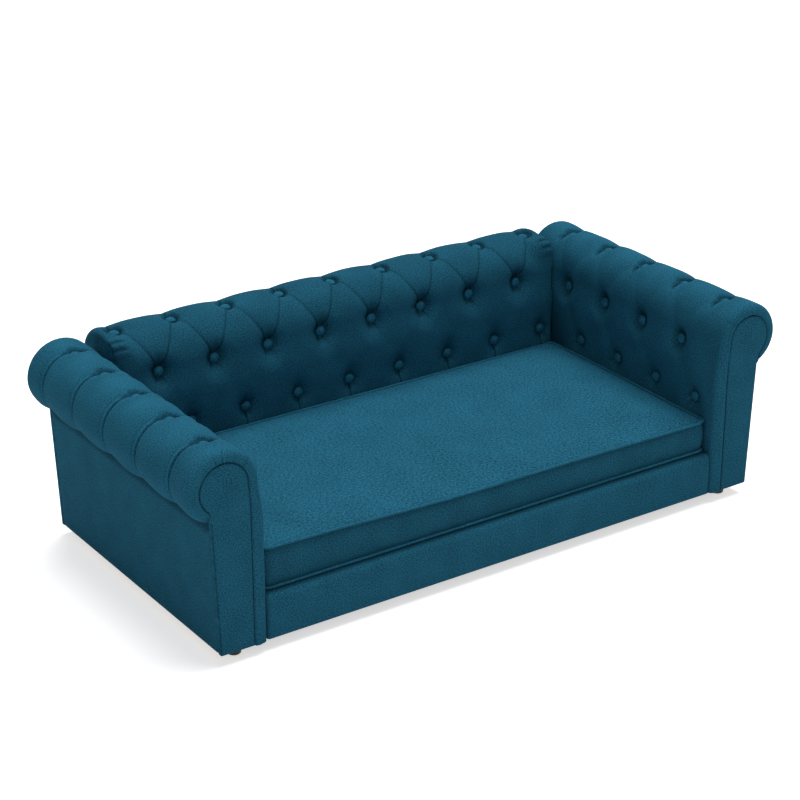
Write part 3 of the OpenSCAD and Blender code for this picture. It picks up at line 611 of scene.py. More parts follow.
def pleats(u, v, cover):
    t, p = tufting, pleatForm
    front, rear, width = cover["pleat"]
    valley, ridge, paintedLight, grooves, foldShadowLine = (np.zeros_like(u) for _ in range(5))
    if rear == 0:
        return valley, ridge, paintedLight, grooves, foldShadowLine
    over = u - rowPlaces(cover)[2]
    reach = smooth((over + t["slit"]) / (0.8 * t["slit"]))
    least, more, deepLong = p["deeper"]
    start, length = p["past"]
    past = smooth((over - start) / length)
    inward = smooth((over + t["slit"]) / (0.7 * t["slit"])) * (over < 0)
    widening, length = p["widening"]
    wider = 1 + widening * bell(np.maximum(-over, 0), length, 1)
    away, wide, full = p["fold"]
    for rowV in columnPlaces(cover):
        s = v - rowV
        behind = 1 / (1 + np.exp(np.minimum(-s / p["edge"], 60)))
        fall = np.clip(1 - np.abs(s) / width, 0, 1) ** 2
        deeper = least + more * bell(over, deepLong)
        valley = np.maximum(valley, reach * fall * deeper * (front + rear * behind))
        ridge += past * (stripe(s, "lap") - stripe(s, "soft"))
        # painted highlight on the second fold and on the lip
        paintedLight += past * stripe(s, "lit") + stripe(s, "lip") * bell(over, p["lipLong"], 4)
        grooves = np.maximum(grooves, p["groove"] * bell(s, wider * t["grooveWidth"]) * inward)
        foldShadowLine = np.maximum(foldShadowLine, bell(s - away, wide) * smooth(over / full))
    paintedLight += stripe(over, "crown") * betweenButtons(v, cover)
    return valley, ridge, paintedLight, grooves, foldShadowLine


# painted shade: the arm is darkened low down beside the back; width: at the top, and added below
cornerForm = {"dark": 1.3, "top": 170 * mm, "fade": 150 * mm, "width": (7 * mm, 46 * mm)}


def cornerShade(u, v, cover):
    if cover["wrapEnds"]:
        return 0.0
    low = smooth((cornerForm["top"] - u) / cornerForm["fade"])
    narrow, added = cornerForm["width"]
    away = np.maximum(backLow.y - midY - v, 0)
    return cornerForm["dark"] * low * bell(away, narrow + added * low)


# valleys and sharp grooves along the creases
def creaseDepth(u, v, cover):
    t = tufting
    total, grooves = np.zeros_like(u), np.zeros_like(u)
    for (ua, va), (ub, vb), kind in creaseLines(cover):
        deep, cut, wide, kept, reach = cover["creases"][kind]
        du, dv = ub - ua, vb - va
        length = math.hypot(du, dv)
        s = np.clip(((u - ua) * du + (v - va) * dv) / length ** 2, 0, 1)
        d = np.hypot(u - ua - s * du, v - va - s * dv)
        total += (deep * t["crease"] * np.clip(1 - d / t["puff"], 0, 1) ** 2.2) ** t["power"]
        strength = kept + (1 - kept) * bell(s * length, reach)
        line = bell(d, t["grooveWidth"] * wide) * np.clip(s * length / (5 * mm), 0, 1)
        grooves = np.maximum(grooves, line * strength * cut)
    return total, grooves


def slitDepth(u, v, cover):
    deep, long, ahead, behind = cover["slit"]
    total, slits = np.zeros_like(u), np.zeros_like(u)
    over = bell(u - rowPlaces(cover)[2], long, 4)
    for rowV in columnPlaces(cover):
        dv = v - rowV
        slit = over * smooth(np.where(dv < 0, 1 + dv / ahead, 1 - dv / behind))
        total += (deep * slit) ** tufting["power"]
        slits = np.maximum(slits, slit)
    return total, slits


# pits round the buttons, with painted shade in them, a wedge of painted shade above and small
# puckers.
# Shade: darkness, depth where it starts and over which it grows; it is weaker below the button.
# Wedge: darkness, width at the button, how it widens, where it is full and where it ends
pitShade = {"shade": (0.75, 2 * mm, 10 * mm), "below": 0.25, "aboveReach": 18 * mm,
            "wedge": (0.55, 3.5 * mm, 0.18, 6 * mm, 30 * mm)}
puckerForm = {"count": 6, "nearest": 8 * mm, "width": 1.6 * mm, "away": 13 * mm,
              "reach": 6 * mm, "atTop": 0.3}


def pitDepth(u, v, cover):
    t, p = tufting, puckerForm
    draw = np.random.RandomState(cover["seed"])
    total, shadows, puckers = (np.zeros_like(u) for _ in range(3))
    seat = t["buttonRadius"] + 0.4 * mm
    below = pitShade["below"]
    darkness, start, growth = pitShade["shade"]
    wedgeDark, narrow, widening, full, end = pitShade["wedge"]
    for row, rowU, fewer in buttonRows(cover):
        top = row == "top"
        steep, width, broad, up, forward, backward = cover["pits"][row]
        for rowV in columnPlaces(cover, fewer):
            du, dv = u - rowU, v - rowV
            away = np.hypot(du, dv)
            along = np.where(dv < 0, dv * forward, dv * backward)
            off = np.maximum(np.hypot(du * up, along) - seat, 0)
            off = np.where(away < seat, 0, off)
            funnel = steep * (1 - smooth(off / width))
            funnel += broad * np.clip(1 - off / t["dimple"], 0, 1) ** 2.4
            total += funnel ** t["power"]
            above = smooth(0.5 + du / pitShade["aboveReach"])
            above = 1.0 if top else below + (1 - below) * above
            shade = darkness * above * smooth((funnel - start) / growth)
            shadows = np.maximum(shadows, shade)
            if not top:
                wedge = bell(dv, narrow + widening * np.abs(du)) * (du > 0)
                wedge *= smooth(du / full) * np.clip(1 - du / end, 0, 1)
                shadows = np.maximum(shadows, wedgeDark * wedge)
            turn = np.arctan2(dv, du)
            near = bell(away - p["away"], p["reach"]) * (p["atTop"] if top else 1.0)
            for _ in range(p["count"]):
                way = draw.uniform(-math.pi, math.pi)
                deepness = draw.uniform(0.3, 1.0)
                apart = np.angle(np.exp(1j * (turn - way)))
                spread = bell(apart * np.maximum(away, p["nearest"]), p["width"])
                puckers += deepness * t["pucker"] * spread * near * (np.cos(apart) > 0)
    return total, shadows, puckers


# how deep the cover lies below its section, and its painted shade and painted highlight there
def tuftDepth(u, v, cover):
    t = tufting
    midU, endU = rowPlaces(cover)[1::2]
    valley, ridges, paintedLight, pleatGrooves, foldShadowLine = pleats(u, v, cover)
    creaseTotal, grooves = creaseDepth(u, v, cover)
    slitTotal, slits = slitDepth(u, v, cover)
    pitTotal, shadows, puckers = pitDepth(u, v, cover)
    grooves = np.maximum(grooves, pleatGrooves)
    total = valley ** t["power"] + creaseTotal + slitTotal + pitTotal
    uneven, wave = t["uneven"]
    slow = uneven * unevenness(u, v, wave, cover["seed"])
    start, length = t["underReach"]
    toEnd = u - endU
    under = t["underBulge"] * smooth((toEnd + start) / length)
    under *= 0.35 + 0.65 * betweenButtons(v, cover)
    under *= 1 - smooth((toEnd + t["underEdge"]) / t["underEdge"])
    depth = smooth(u / t["level"]) * (total ** (1 / t["power"]) + puckers + slow - ridges)
    depth += t["groove"] * grooves - under

    # the mark is painted shade: in grooves, along the fold's shadow line, in puckers, pits and
    # slits, under the roll, over the back's roll and in the corner beside the back; painted
    # highlight takes it below zero
    slitShade, darkest = cover["slitShade"]
    mark = np.clip(grooves * 0.8 + 0.6 * foldShadowLine, 0, 1)
    mark += 0.4 * np.clip(puckers / t["pucker"], 0, 1)
    mark += np.maximum(shadows, slitShade * smooth(slits * 1.6 - 0.4))
    underDark, start, length = t["underShade"]
    mark += underDark * smooth((toEnd + start) / length)
    mark += cover["rollShade"] * smooth((u - midU - 4 * mm) / (24 * mm))
    mark = np.clip(mark, 0, 1) + darkest * smooth(slits * 1.8 - 0.7)
    mark = np.clip(mark + cornerShade(u, v, cover), 0, 1.35)
    return depth, mark - 0.8 * np.clip(paintedLight, 0, 1) * (1 - mark)


# steps along a line, finer beside the given places
def finerNear(low, high, places):
    t = tufting
    points = [low]
    while points[-1] < high - 0.6 * t["fineStep"]:
        away = min(abs(points[-1] - p) for p in places)
        share = float(smooth((away - t["fineReach"]) / (6 * mm)))
        points.append(points[-1] + t["fineStep"] + (t["step"] - t["fineStep"]) * share)
    points[-1] = high
    return np.array(points)


# a line of stations with rounded ends, and how far each falls back there
def roundedEnds(body, flat, radius, fall, steps):
    turn = np.radians(np.linspace(0, 90, steps + 1))[1:]
    over, fallen = flat + radius * np.sin(turn), fall * (1 - np.cos(turn))
    return (np.concatenate([-over[::-1], body, over]),
            np.concatenate([fallen[::-1], np.zeros(len(body)), fallen]))


def coverStations(cover, halfLength):
    lowU, midU, topU, endU = rowPlaces(cover)
    us = finerNear(0, endU, [lowU, midU, topU])
    if cover["drop"] > 0:
        us = np.concatenate([np.linspace(-cover["drop"], 0, 16)[:-1], us])
    flat = halfLength - cover["endRound"]
    right = finerNear(0, flat, columnPlaces(cover) + columnPlaces(cover, 1))
    body = np.concatenate([-right[:0:-1], right])
    return us, *roundedEnds(body, flat, cover["endRound"], cover["endFall"], 10)


# thin gathers that fan out from the facing round the top of the scroll
gathers = {
    "turns": (52, 74, 88, 99, 112, 138),
    "width": 1.2 * mm,
    "depth": 0.6 * mm,
    "reach": 11 * mm,
}


def gatherLines(us, cover):
    lines = np.zeros_like(us)
    for k, turn in enumerate(gathers["turns"]):
        place = rise + cover["rollRadius"] * (math.pi - math.radians(turn))
        line = (1.0 if k % 3 else 0.65) * bell(us - place, gathers["width"])
        lines = np.maximum(lines, line)
    return lines * (not cover["wrapEnds"])


# the back's ends: full corners in front of the roll with two short folds tucked in, which get
# painted shade
backEnd = {
    "corner": (40 * mm, 18 * mm, 36 * mm, 26 * mm, 10 * mm),
    "folds": (42 * mm, 13 * mm, 24 * mm, 12 * mm, 2.6 * mm),
    "foldPitch": 12 * mm,
    "foldShade": 1.1,
}


# round a place on the roll, towards the end of the pad
def atCorner(u, fromEnd, form):
    place, width, reach, length, depth = form
    return bell(u - rise - place, width), smooth((reach - fromEnd) / length), depth


def backEnds(u, fromEnd, falls, depth, mark):
    corner, toEnd, full = atCorner(u, fromEnd, backEnd["corner"])
    depth = depth - corner * toEnd * full - corner * 0.8 * falls[None, :]
    ahead, toEnd, tuck = atCorner(u, fromEnd, backEnd["folds"])
    folds = 0.5 + 0.5 * np.cos(2 * math.pi * (u - rise - 36 * mm) / backEnd["foldPitch"])
    tucked = ahead * folds ** 2 * toEnd
    return depth + tuck * tucked, np.minimum(mark + backEnd["foldShade"] * tucked, 1.2)


# an end face: rings from the rounded edge in to the facing or, on the back, to the axis.
# Tuck: least, growth and its start below the roll, then size and length above it.
# Under the back's roll the axis gives way: across, down, angle at the start and its length
endFace = {
    "rings": 12,
    "wave": 5.2 * mm,
    "arm": {"swell": 1.2 * mm, "dip": 2.4 * mm, "gather": 0.35 * mm},
    "back": {"swell": 3.5 * mm, "gather": 0.8 * mm, "lip": 0.3 * mm},
    "tuck": (0.8 * mm, 0.09, 30 * mm, 0.7 * mm, 14 * mm),
    "under": (14 * mm, 40 * mm, math.radians(20), math.radians(40)),
    "behind": 1.2 * mm,
    "inset": 3 * mm,
}


def endRings(edge, side, us, roll, cover, halfLength):
    wraps = cover["wrapEnds"]
    innerOut, innerHigh = innerAt(us, cover, seamRadius(us, cover))
    form = endFace["back" if wraps else "arm"]
    if wraps:
        across, down, start, length = endFace["under"]
        lower = smooth((-turnAt(us, cover) - start) / length)
        innerOut, innerHigh = innerOut - across * lower, innerHigh - down * lower
    else:
        least, growth, start, onTop, length = endFace["tuck"]
        tuck = least + growth * np.maximum(us - rise + start, 0)
        above = onTop * (1 - smooth((us - rise) / length))
        innerOut = innerOut + np.where(us < rise, tuck, above)
    arc = us / endFace["wave"]
    wobble = np.sin(arc * 2 * math.pi / 1.7 + 2 * np.sin(arc * 0.9)) * roll
    gathered = gatherLines(us, cover)
    rings, marks = [], []
    for s in np.linspace(0, 1, endFace["rings"] + 1)[1:]:
        if wraps:
            swell, dip = form["swell"] * roll * math.sin(math.pi / 2 * s), 0.0
            gather = form["gather"] * wobble * max(0.0, 1 - s * 2.2)
        else:
            swell = form["swell"] * math.sin(math.pi * min(s * 1.1, 1))
            dip = form["dip"] * float(smooth((s - 0.84) / 0.16))
            fade = float(smooth((s - 0.1) / 0.45) * (1 - s) ** 0.4)
            gather = form["gather"] * wobble * fade + gathers["depth"] * gathered
        rings.append(np.column_stack([edge[:, 0] + (innerOut - edge[:, 0]) * s,
                                      edge[:, 1] + side * (swell - dip - gather),
                                      edge[:, 2] + (innerHigh - edge[:, 2]) * s]))
        # painted shade along the gathers, and full painted shade at an arm's last ring, where it
        # meets the facing
        shadow = 1.0 if s == 1 and not wraps else 0.0
        marks.append(np.clip(0.5 * gathered + shadow, 0, 1))
    if wraps:
        rings.append(rings[-1] - np.array([0, side * form["lip"], 0]))
        marks.append(np.zeros(len(us)))
    backOut, backZ = innerAt(us, cover, cover["coreRadius"] + endFace["behind"])
    inside = np.full(len(us), side * (halfLength - endFace["inset"]))
    return rings + [np.column_stack([backOut, inside, backZ])], marks + [np.zeros(len(us))]


# the unit stands in its own plane: out from the seat side, along, up
def buttonedCover(name, cover, halfLength, place):
    wraps = cover["wrapEnds"]
    us, vs, falls = coverStations(cover, halfLength)
    u, v = np.meshgrid(us, vs, indexing="ij")
    fromEnd = halfLength - np.abs(v)
    depth, mark = tuftDepth(np.maximum(u, 0), v, cover)
    roll = smooth((us - rise + 20 * mm) / (30 * mm))
    depth = depth * (0.25 + 0.75 * smooth(fromEnd / (22 * mm)))
    depth += falls[None, :] * ((0.6 + 0.9 * roll[:, None]) if wraps else 1)
    if wraps:
        depth, mark = backEnds(u, fromEnd, falls, depth, mark)
    pulled = gatherLines(us, cover)[:, None] * smooth(
        (gathers["reach"] - fromEnd) / gathers["reach"])
    depth += 0.6 * gathers["depth"] * pulled
    # painted shade along the gathers near the ends
    mark = np.maximum(mark, np.minimum(mark + 0.4 * pulled, 1))
    low = smooth((90 * mm - u) / (30 * mm))
    depth = np.where(depth < 0, depth * (1 - low), depth)
    out, high, faces = sectionAt(u, cover)
    tips = np.sign(v) * cover["endOut"] * roll[:, None] * smooth((30 * mm - fromEnd) / (30 * mm))
    outer = np.stack([out - depth * np.cos(faces), v + tips, high - depth * np.sin(faces)], -1)

    left, leftMarks = endRings(outer[:, 0], -1, us, roll, cover, halfLength)
    right, rightMarks = endRings(outer[:, -1], 1, us, roll, cover, halfLength)
    points = np.stack(left[::-1] + list(np.moveaxis(outer, 1, 0)) + right, 1)
    creases = np.stack(leftMarks[::-1] + list(mark.T) + rightMarks, 1)
    faces = cappedGrid(*points.shape[:2])
    if place.determinant() > 0:
        faces = [face[::-1] for face in faces]
    uv = weaveMap(arcLengths(points[len(us) // 2]), us)
    return newPiece(name, placed(points.reshape(-1, 3), place), faces, clothMaterial, uv,
                    creases)


pads = (
    ("rightArm", "right_arm", armCover, armHalf, 3,
     standing((1, 0, 0), (0, 1, 0), (0, 0, 1), (seatHalf, midY, 0))),
    ("leftArm", "left_arm", armCover, armHalf, 4,
     standing((-1, 0, 0), (0, 1, 0), (0, 0, 1), (-seatHalf, midY, 0))),
    ("back", "back", backCover, backHigh.x, 5,
     standing((0, 1, 0), (-1, 0, 0), (0, 0, 1), (0, backLow.y, 0))),
)
for label, node, cover, half, seed, place in pads:
    pad = outwardFaces(buttonedCover(label + "Cover", cover, half, place))
    finish(pad, "cloth", sofaBody, node + "_pad")
print("buttoned covers made")


# geometry nodes: inputs are set by socket identifier
def useTree(piece, tree, **values):
    modifier = piece.modifiers.new(tree.name, "NODES")
    modifier.node_group = tree
    for item in tree.interface.items_tree:
        if item.item_type == "SOCKET" and item.in_out == "INPUT" and item.name in values:
            modifier[item.identifier] = values[item.name]


def pointVector(tree, name):
    return addNode(tree, "GeometryNodeInputNamedAttribute", {"Name": name},
                   data_type="FLOAT_VECTOR").outputs[0]


def toRotation(tree, euler):
    return addNode(tree, "FunctionNodeEulerToRotation", {0: euler}).outputs[0]


# a copy of the thing on every point
def copies(tree, points, thing, **inputs):
    info = addNode(tree, "GeometryNodeObjectInfo", {"Object": thing})
    return addNode(tree, "GeometryNodeInstanceOnPoints", {
        "Points": points, "Instance": info.outputs["Geometry"], **inputs}).outputs[0]


# how every tree ends: copies made real, with their material
def endTree(tree, shape, material, result):
    real = addNode(tree, "GeometryNodeRealizeInstances", {0: shape}).outputs[0]
    paint = addNode(tree, "GeometryNodeSetMaterial", {"Geometry": real, "Material": material})
    tree.links.new(paint.outputs[0], result[0])
    return tree


# tree: one covered button on every point, turned to face the way the point says
def makeButtonTree():
    tree, given, result = geometryTree("coveredButtons", Button="Object", Cloth="Material",
                                       Tilt=0.08, Seed=3)
    align = addNode(tree, "FunctionNodeAlignRotationToVector", {
        "Vector": pointVector(tree, "facing")}, axis="Z")
    tilt, back = given["Tilt"], times(tree, given["Tilt"], -1)
    lowest = addNode(tree, "ShaderNodeCombineXYZ", {"X": back, "Y": back})
    highest = addNode(tree, "ShaderNodeCombineXYZ", {"X": tilt, "Y": tilt, "Z": 6.2832})
    random = addNode(tree, "FunctionNodeRandomValue", {
        0: lowest.outputs[0], 1: highest.outputs[0], "Seed": given["Seed"]},
        data_type="FLOAT_VECTOR")
    both = addNode(tree, "FunctionNodeRotateRotation", {
        0: align.outputs[0], 1: toRotation(tree, random.outputs[0])}, rotation_space="LOCAL")
    placing = copies(tree, given["Geometry"], given["Button"], Rotation=both.outputs[0])
    return endTree(tree, placing, given["Cloth"], result)


# profile: shares of the radius and the height, from the middle of the dome to its back
coveredButton = {
    "radius": 7.5 * mm,
    "height": 5.0 * mm,
    "sides": 36,
    "pleats": 12,
    "profile": ((0.05, 1.0), (0.25, 0.985), (0.45, 0.93), (0.63, 0.83), (0.79, 0.68),
                (0.91, 0.50), (0.98, 0.32), (1.0, 0.16), (0.97, 0.04), (0.86, -0.04),
                (0.6, -0.06), (0.2, -0.06)),
}


# a domed button with its cloth gathered under the rim
def makeButton():
    b = coveredButton
    points, uv, creases = [], [], []
    for share, high in b["profile"]:
        for k in range(b["sides"]):
            turn = 2 * math.pi * k / b["sides"]
            fold = 0.25 * mm * math.cos(b["pleats"] * turn) * max(0.0, share - 0.8) * 4
            around = b["radius"] * share - (fold if high < 0.4 else 0)
            uv.append((around * math.cos(turn), around * math.sin(turn)))
            points.append((*uv[-1], b["height"] * high))
            # painted shade under the button's rim
            creases.append(0.6 if high < 0.1 else 0.0)
    faces = cappedGrid(len(b["profile"]), b["sides"], -1)
    return outwardFaces(newPiece("buttonMaster", points, faces, buttonMaterial, uv, creases))


def addVectors(piece, name, values):
    vectors = piece.data.attributes.new(name, "FLOAT_VECTOR", "POINT")
    vectors.data.foreach_set("vector", np.array(values, dtype=np.float32).ravel())


buttonTree = makeButtonTree()
buttonMaster = makeButton()


def makeButtons(name, cover, place, node, seed):
    points, ways = [], []
    turn = place.to_3x3().to_4x4()
    for row, rowU, fewer in buttonRows(cover):
        out, high, angle = (float(x[0]) for x in sectionAt(np.array([rowU]), cover))
        way = np.array([math.cos(angle), 0, math.sin(angle)])
        deep = tufting["sinks"][row] + tufting["buttonHeight"]
        for v in columnPlaces(cover, fewer):
            points.append(placed(np.array([out, v, high]) - way * deep, place))
            ways.append(placed(way, turn))
    buttons = newPiece(name, points, [], buttonMaterial)
    addVectors(buttons, "facing", ways)
    useTree(buttons, buttonTree, Button=buttonMaster, Cloth=buttonMaterial, Seed=seed)
    finish(applied(buttons), "button_cloth", sofaBody, node)


for label, node, cover, half, seed, place in pads:
    makeButtons(label + "Buttons", cover, place, node + "_buttons", seed)
bpy.data.objects.remove(buttonMaster)
print("buttons made")


# flat upholstered panels: an outline with a rolled edge and a slight swell;
# mark, topShade and wall are painted shade along the rim, under the top edge and on the sides
panelForm = {"step": 5 * mm, "edge": 2.6 * mm, "swell": 1.2 * mm, "reach": 22 * mm,
             "mark": 1.0, "topShade": 0.0, "wall": 0.05}
facingForm = dict(panelForm, step=4 * mm, edge=2.4 * mm, swell=1.6 * mm, reach=16 * mm,
                  mark=0.7)


# directions out of a level loop that runs counterclockwise
def outward(loop):
    way = np.roll(loop[:, :2], -1, axis=0) - np.roll(loop[:, :2], 1, axis=0)
    way /= np.linalg.norm(way, axis=1)[:, None]
    return np.stack([way[:, 1], -way[:, 0]], -1)


def evenLoop(corners, step):
    points = []
    for a, b in zip(corners, corners[1:] + corners[:1]):
        a, b = np.array(a, float), np.array(b, float)
        count = max(1, int(round(np.linalg.norm(b - a) / step)))
        points += [a + (b - a) * i / count for i in range(count)]
    return np.array(points)


def distanceTo(loop, points):
    a = loop[None, :, :]
    way = np.roll(loop, -1, axis=0)[None, :, :] - a
    best = []
    for start in range(0, len(points), 4000):
        p = points[start:start + 4000, None, :]
        t = np.clip(((p - a) * way).sum(-1) / (way ** 2).sum(-1), 0, 1)
        best.append(np.linalg.norm(p - a - t[..., None] * way, axis=-1).min(1))
    return np.concatenate(best)


def insideLoop(loop, points):
    x, y = points[:, 0], points[:, 1]
    inside = np.zeros(len(points), bool)
    for (ax, ay), (bx, by) in zip(loop, np.roll(loop, -1, axis=0)):
        if ay != by:
            crossing = (ay > y) != (by > y)
            inside ^= crossing & (x < (bx - ax) * (y - ay) / (by - ay) + ax)
    return inside


# the outline's rings and a grid within them, joined to triangles
def filledLoop(loop, form):
    edge, step = form["edge"], form["step"]
    rings = [loop] + [loop - share * edge * outward(loop) for share in (0.12, 0.45, 1, 1.8)]
    low, high = loop.min(0), loop.max(0)
    grid = np.array([(x, y) for x in np.arange(low[0], high[0], step)
                     for y in np.arange(low[1], high[1], step)])
    grid = grid[insideLoop(loop, grid)]
    grid = grid[distanceTo(loop, grid) > 1.8 * edge + 0.5 * step]
    count = len(loop)
    edges = [(k, (k + 1) % count) for k in range(count)]
    made = delaunay_2d_cdt([Vector(p) for p in np.concatenate(rings + [grid])], edges, [], 1,
                           1e-7)
    return np.array([tuple(p) for p in made[0]]), [tuple(f) for f in made[2]]


# loop runs counterclockwise in its plane; place takes (across, up, out) to the world
def makePanel(name, node, loop, thick, place, form, seed):
    flat, faces = filledLoop(loop, form)
    edge, d = form["edge"], distanceTo(loop, flat)
    rim = edge * (1 - np.sqrt(np.maximum(0, 1 - (1 - np.clip(d / edge, 0, 1)) ** 2)))
    swell = form["swell"] * (1 - np.exp(-d / form["reach"] * 1.6))
    slow = 0.3 * mm * unevenness(flat[:, 0], flat[:, 1], 90 * mm, seed)
    top = thick - rim + swell + slow * np.clip(d / (20 * mm), 0, 1)
    front = np.column_stack([flat, top])
    base = np.column_stack([flat, np.zeros(len(flat))])
    # painted shade: a band under the top edge, and a line along the rim
    shaded = smooth(1.0 + (flat[:, 1] - loop[:, 1].max() + 12 * mm) / (6 * mm))
    creases = np.maximum(form["mark"] * bell(d, 1.1 * mm), form["topShade"] * shaded)
    rimIndex = [int(np.argmin(np.linalg.norm(flat - p, axis=1))) for p in loop]
    wall = np.stack([front[rimIndex] - np.array([0, 0, 0.8 * mm]), base[rimIndex]], 1)
    points = np.concatenate([front, wall.reshape(-1, 3)])
    marks = list(creases) + [form["wall"]] * (2 * len(loop))
    upper = [len(flat) + 2 * k for k in range(len(loop))]
    for k in range(len(loop)):
        n = (k + 1) % len(loop)
        faces.append((rimIndex[k], upper[k], upper[n], rimIndex[n]))
        faces.append((upper[k], upper[k] + 1, upper[n] + 1, upper[n]))
    faces.append(tuple(k + 1 for k in reversed(upper)))
    panel = newPiece(name, placed(points, place), faces, clothMaterial, points[:, :2], marks)
    finish(outwardFaces(panel), "cloth", sofaBody, node)


sideThick = 6 * mm
panelRise = panelHigh.z - bodyZ
flare = panelHigh.x - panelLow.x - sideThick
armWide = panelLow.x + sideThick - seatHalf


# question mark outline of an arm's end, from its inner bottom corner round the roll
def facingLoop():
    inner = facingLow.x - seatHalf
    corners = [(inner, bodyZ), (armWide, bodyZ), (armWide + flare, panelHigh.z)]
    lowest, last, steps = -tufting["underAngle"], math.radians(165), 40
    for k in range(steps + 1):
        turn = lowest + (last - lowest) * k / steps
        u = rise + armCover["rollRadius"] * (math.pi - turn)
        radius = float(seamRadius(np.array([u]), armCover)[0]) + 0.1 * mm
        corners.append((armCover["axisOut"] + radius * math.cos(turn),
                        rollHeight + radius * math.sin(turn)))
    return evenLoop(corners + [(inner, rollHeight - 30 * mm)], 3.0 * mm)


def makeFacings():
    loop = facingLoop()
    thick = facingHigh.y - facingLow.y
    for side, sideName in ((1, "right"), (-1, "left")):
        for end, y, way in (("Front", facingHigh.y, -1), ("Rear", armHigh.y - thick, 1)):
            place = standing((side, 0, 0), (0, 0, 1), (0, way, 0), (side * seatHalf, y, 0))
            makePanel(sideName + end + "Facing", f"{sideName}_{end.lower()}_facing", loop,
                      thick, place, facingForm, 11)


def makeSidePanels():
    lean = math.atan2(flare, panelRise)
    sine, cosine = math.sin(lean), math.cos(lean)
    rim = math.hypot(panelRise, flare)
    loop = evenLoop([(panelLow.y, 0), (panelHigh.y, 0), (panelHigh.y, rim), (panelLow.y, rim)],
                    5 * mm)
    form = dict(panelForm, step=6 * mm, swell=0.9 * mm, mark=0.15, edge=1.2 * mm, topShade=0.9)
    inner = seatHalf + armWide - sideThick / cosine
    for side, sideName in ((1, "right"), (-1, "left")):
        place = standing((0, 1, 0), (side * sine, 0, cosine), (side * cosine, 0, -sine),
                         (side * inner, 0, bodyZ + 0.4 * mm))
        makePanel(sideName + "SidePanel", sideName + "_side_panel", loop, sideThick, place,
                  form, 12)


def makeRearPanel():
    low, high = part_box("rear_panel")
    half, top = high.x + 0.15 * mm, high.z + 2.5 * mm
    inner = low.y - 5 * mm
    loop = evenLoop([(-half, low.z), (half, low.z), (half, top), (-half, top)], 6 * mm)
    place = standing((1, 0, 0), (0, 0, 1), (0, 1, 0), (0, inner, 0))
    form = dict(panelForm, step=11 * mm, mark=0.4)
    makePanel("rearPanel", "rear_panel", loop, high.y - inner, place, form, 13)


makeFacings()
makeSidePanels()
makeRearPanel()
print("facings and panels made")

# front rail: its cloth goes up the front, over a padded edge and back to the deck
railCover = {"edge": 9 * mm, "endRound": 5 * mm, "hem": 4 * mm, "step": 4 * mm,
             "swell": 0.8 * mm, "thick": 6 * mm}


def makeFrontRail():
    low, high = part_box("front_rail_cover")
    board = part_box("front_rail")[0].y
    r, er, thick = railCover["edge"], railCover["endRound"], railCover["thick"]
    hem = low.z + railCover["hem"]
    path = [(low.y + 6 * mm, low.z), (low.y + 2 * mm, low.z),
            (low.y + 0.6 * mm, low.z + 0.6 * mm)]
    path += [(low.y, hem + (high.z - r - hem) * i / 14) for i in range(15)]
    for k in range(1, 9):
        turn = math.pi / 2 * k / 8
        path.append((low.y + r - r * math.cos(turn), high.z - r + r * math.sin(turn)))
    path += [(low.y + r + (high.y - low.y - r) * i / 3, high.z) for i in range(1, 4)]
    path = np.array(path)
    way = np.gradient(path, axis=0)
    way /= np.linalg.norm(way, axis=1)[:, None]
    rising = np.minimum(path[3:18, 1] + 1 * mm, high.z - thick - 1 * mm)
    inner = np.array([(board, low.z + 1 * mm)] * 3 + [(board, z) for z in rising]
                     + [(board, high.z - thick - 0.3 * mm)] * 6
                     + [(board + 2 * mm, high.z - thick)] * 2
                     + [(y, high.z - thick) for y in path[-3:, 0]])
    flat = high.x - er
    xs = np.linspace(-flat, flat, int(round(2 * flat / railCover["step"])))
    xs, falls = roundedEnds(xs, flat, er, er, 6)
    arc = arcLengths(path)
    s, x = np.meshgrid(arc, xs, indexing="ij")
    swell = railCover["swell"] * np.sin(np.clip(s / arc[20], 0, 1) * math.pi)
    sink = falls[None, :] - swell + 0.35 * mm * unevenness(s, x, 110 * mm, 21)
    sink = np.where(s > arc[-4], falls[None, :], sink)
    sink[:3] = falls * 0.3
    outer = np.stack([x, path[:, :1] + way[:, 1:] * sink, path[:, 1:] - way[:, :1] * sink], -1)
    left, right = (np.column_stack([np.full(len(path), side * (high.x - 1 * mm)), inner])
                   for side in (-1, 1))
    points = np.stack([left] + list(np.moveaxis(outer, 1, 0)) + [right], 1)
    rows, count = points.shape[:2]
    # painted shade on the top behind the padded edge, where the cushion sits over it
    under = 0.9 * smooth((arc - arc[21]) / (arc[25] - arc[21]))
    uv = weaveMap(np.linspace(0, 2 * high.x, count), arc)
    rail = newPiece("frontRailCover", points, cappedGrid(rows, count), clothMaterial, uv,
                    np.repeat(under, count))
    finish(outwardFaces(rail), "cloth", sofaBody, "front_rail_cover")


makeFrontRail()

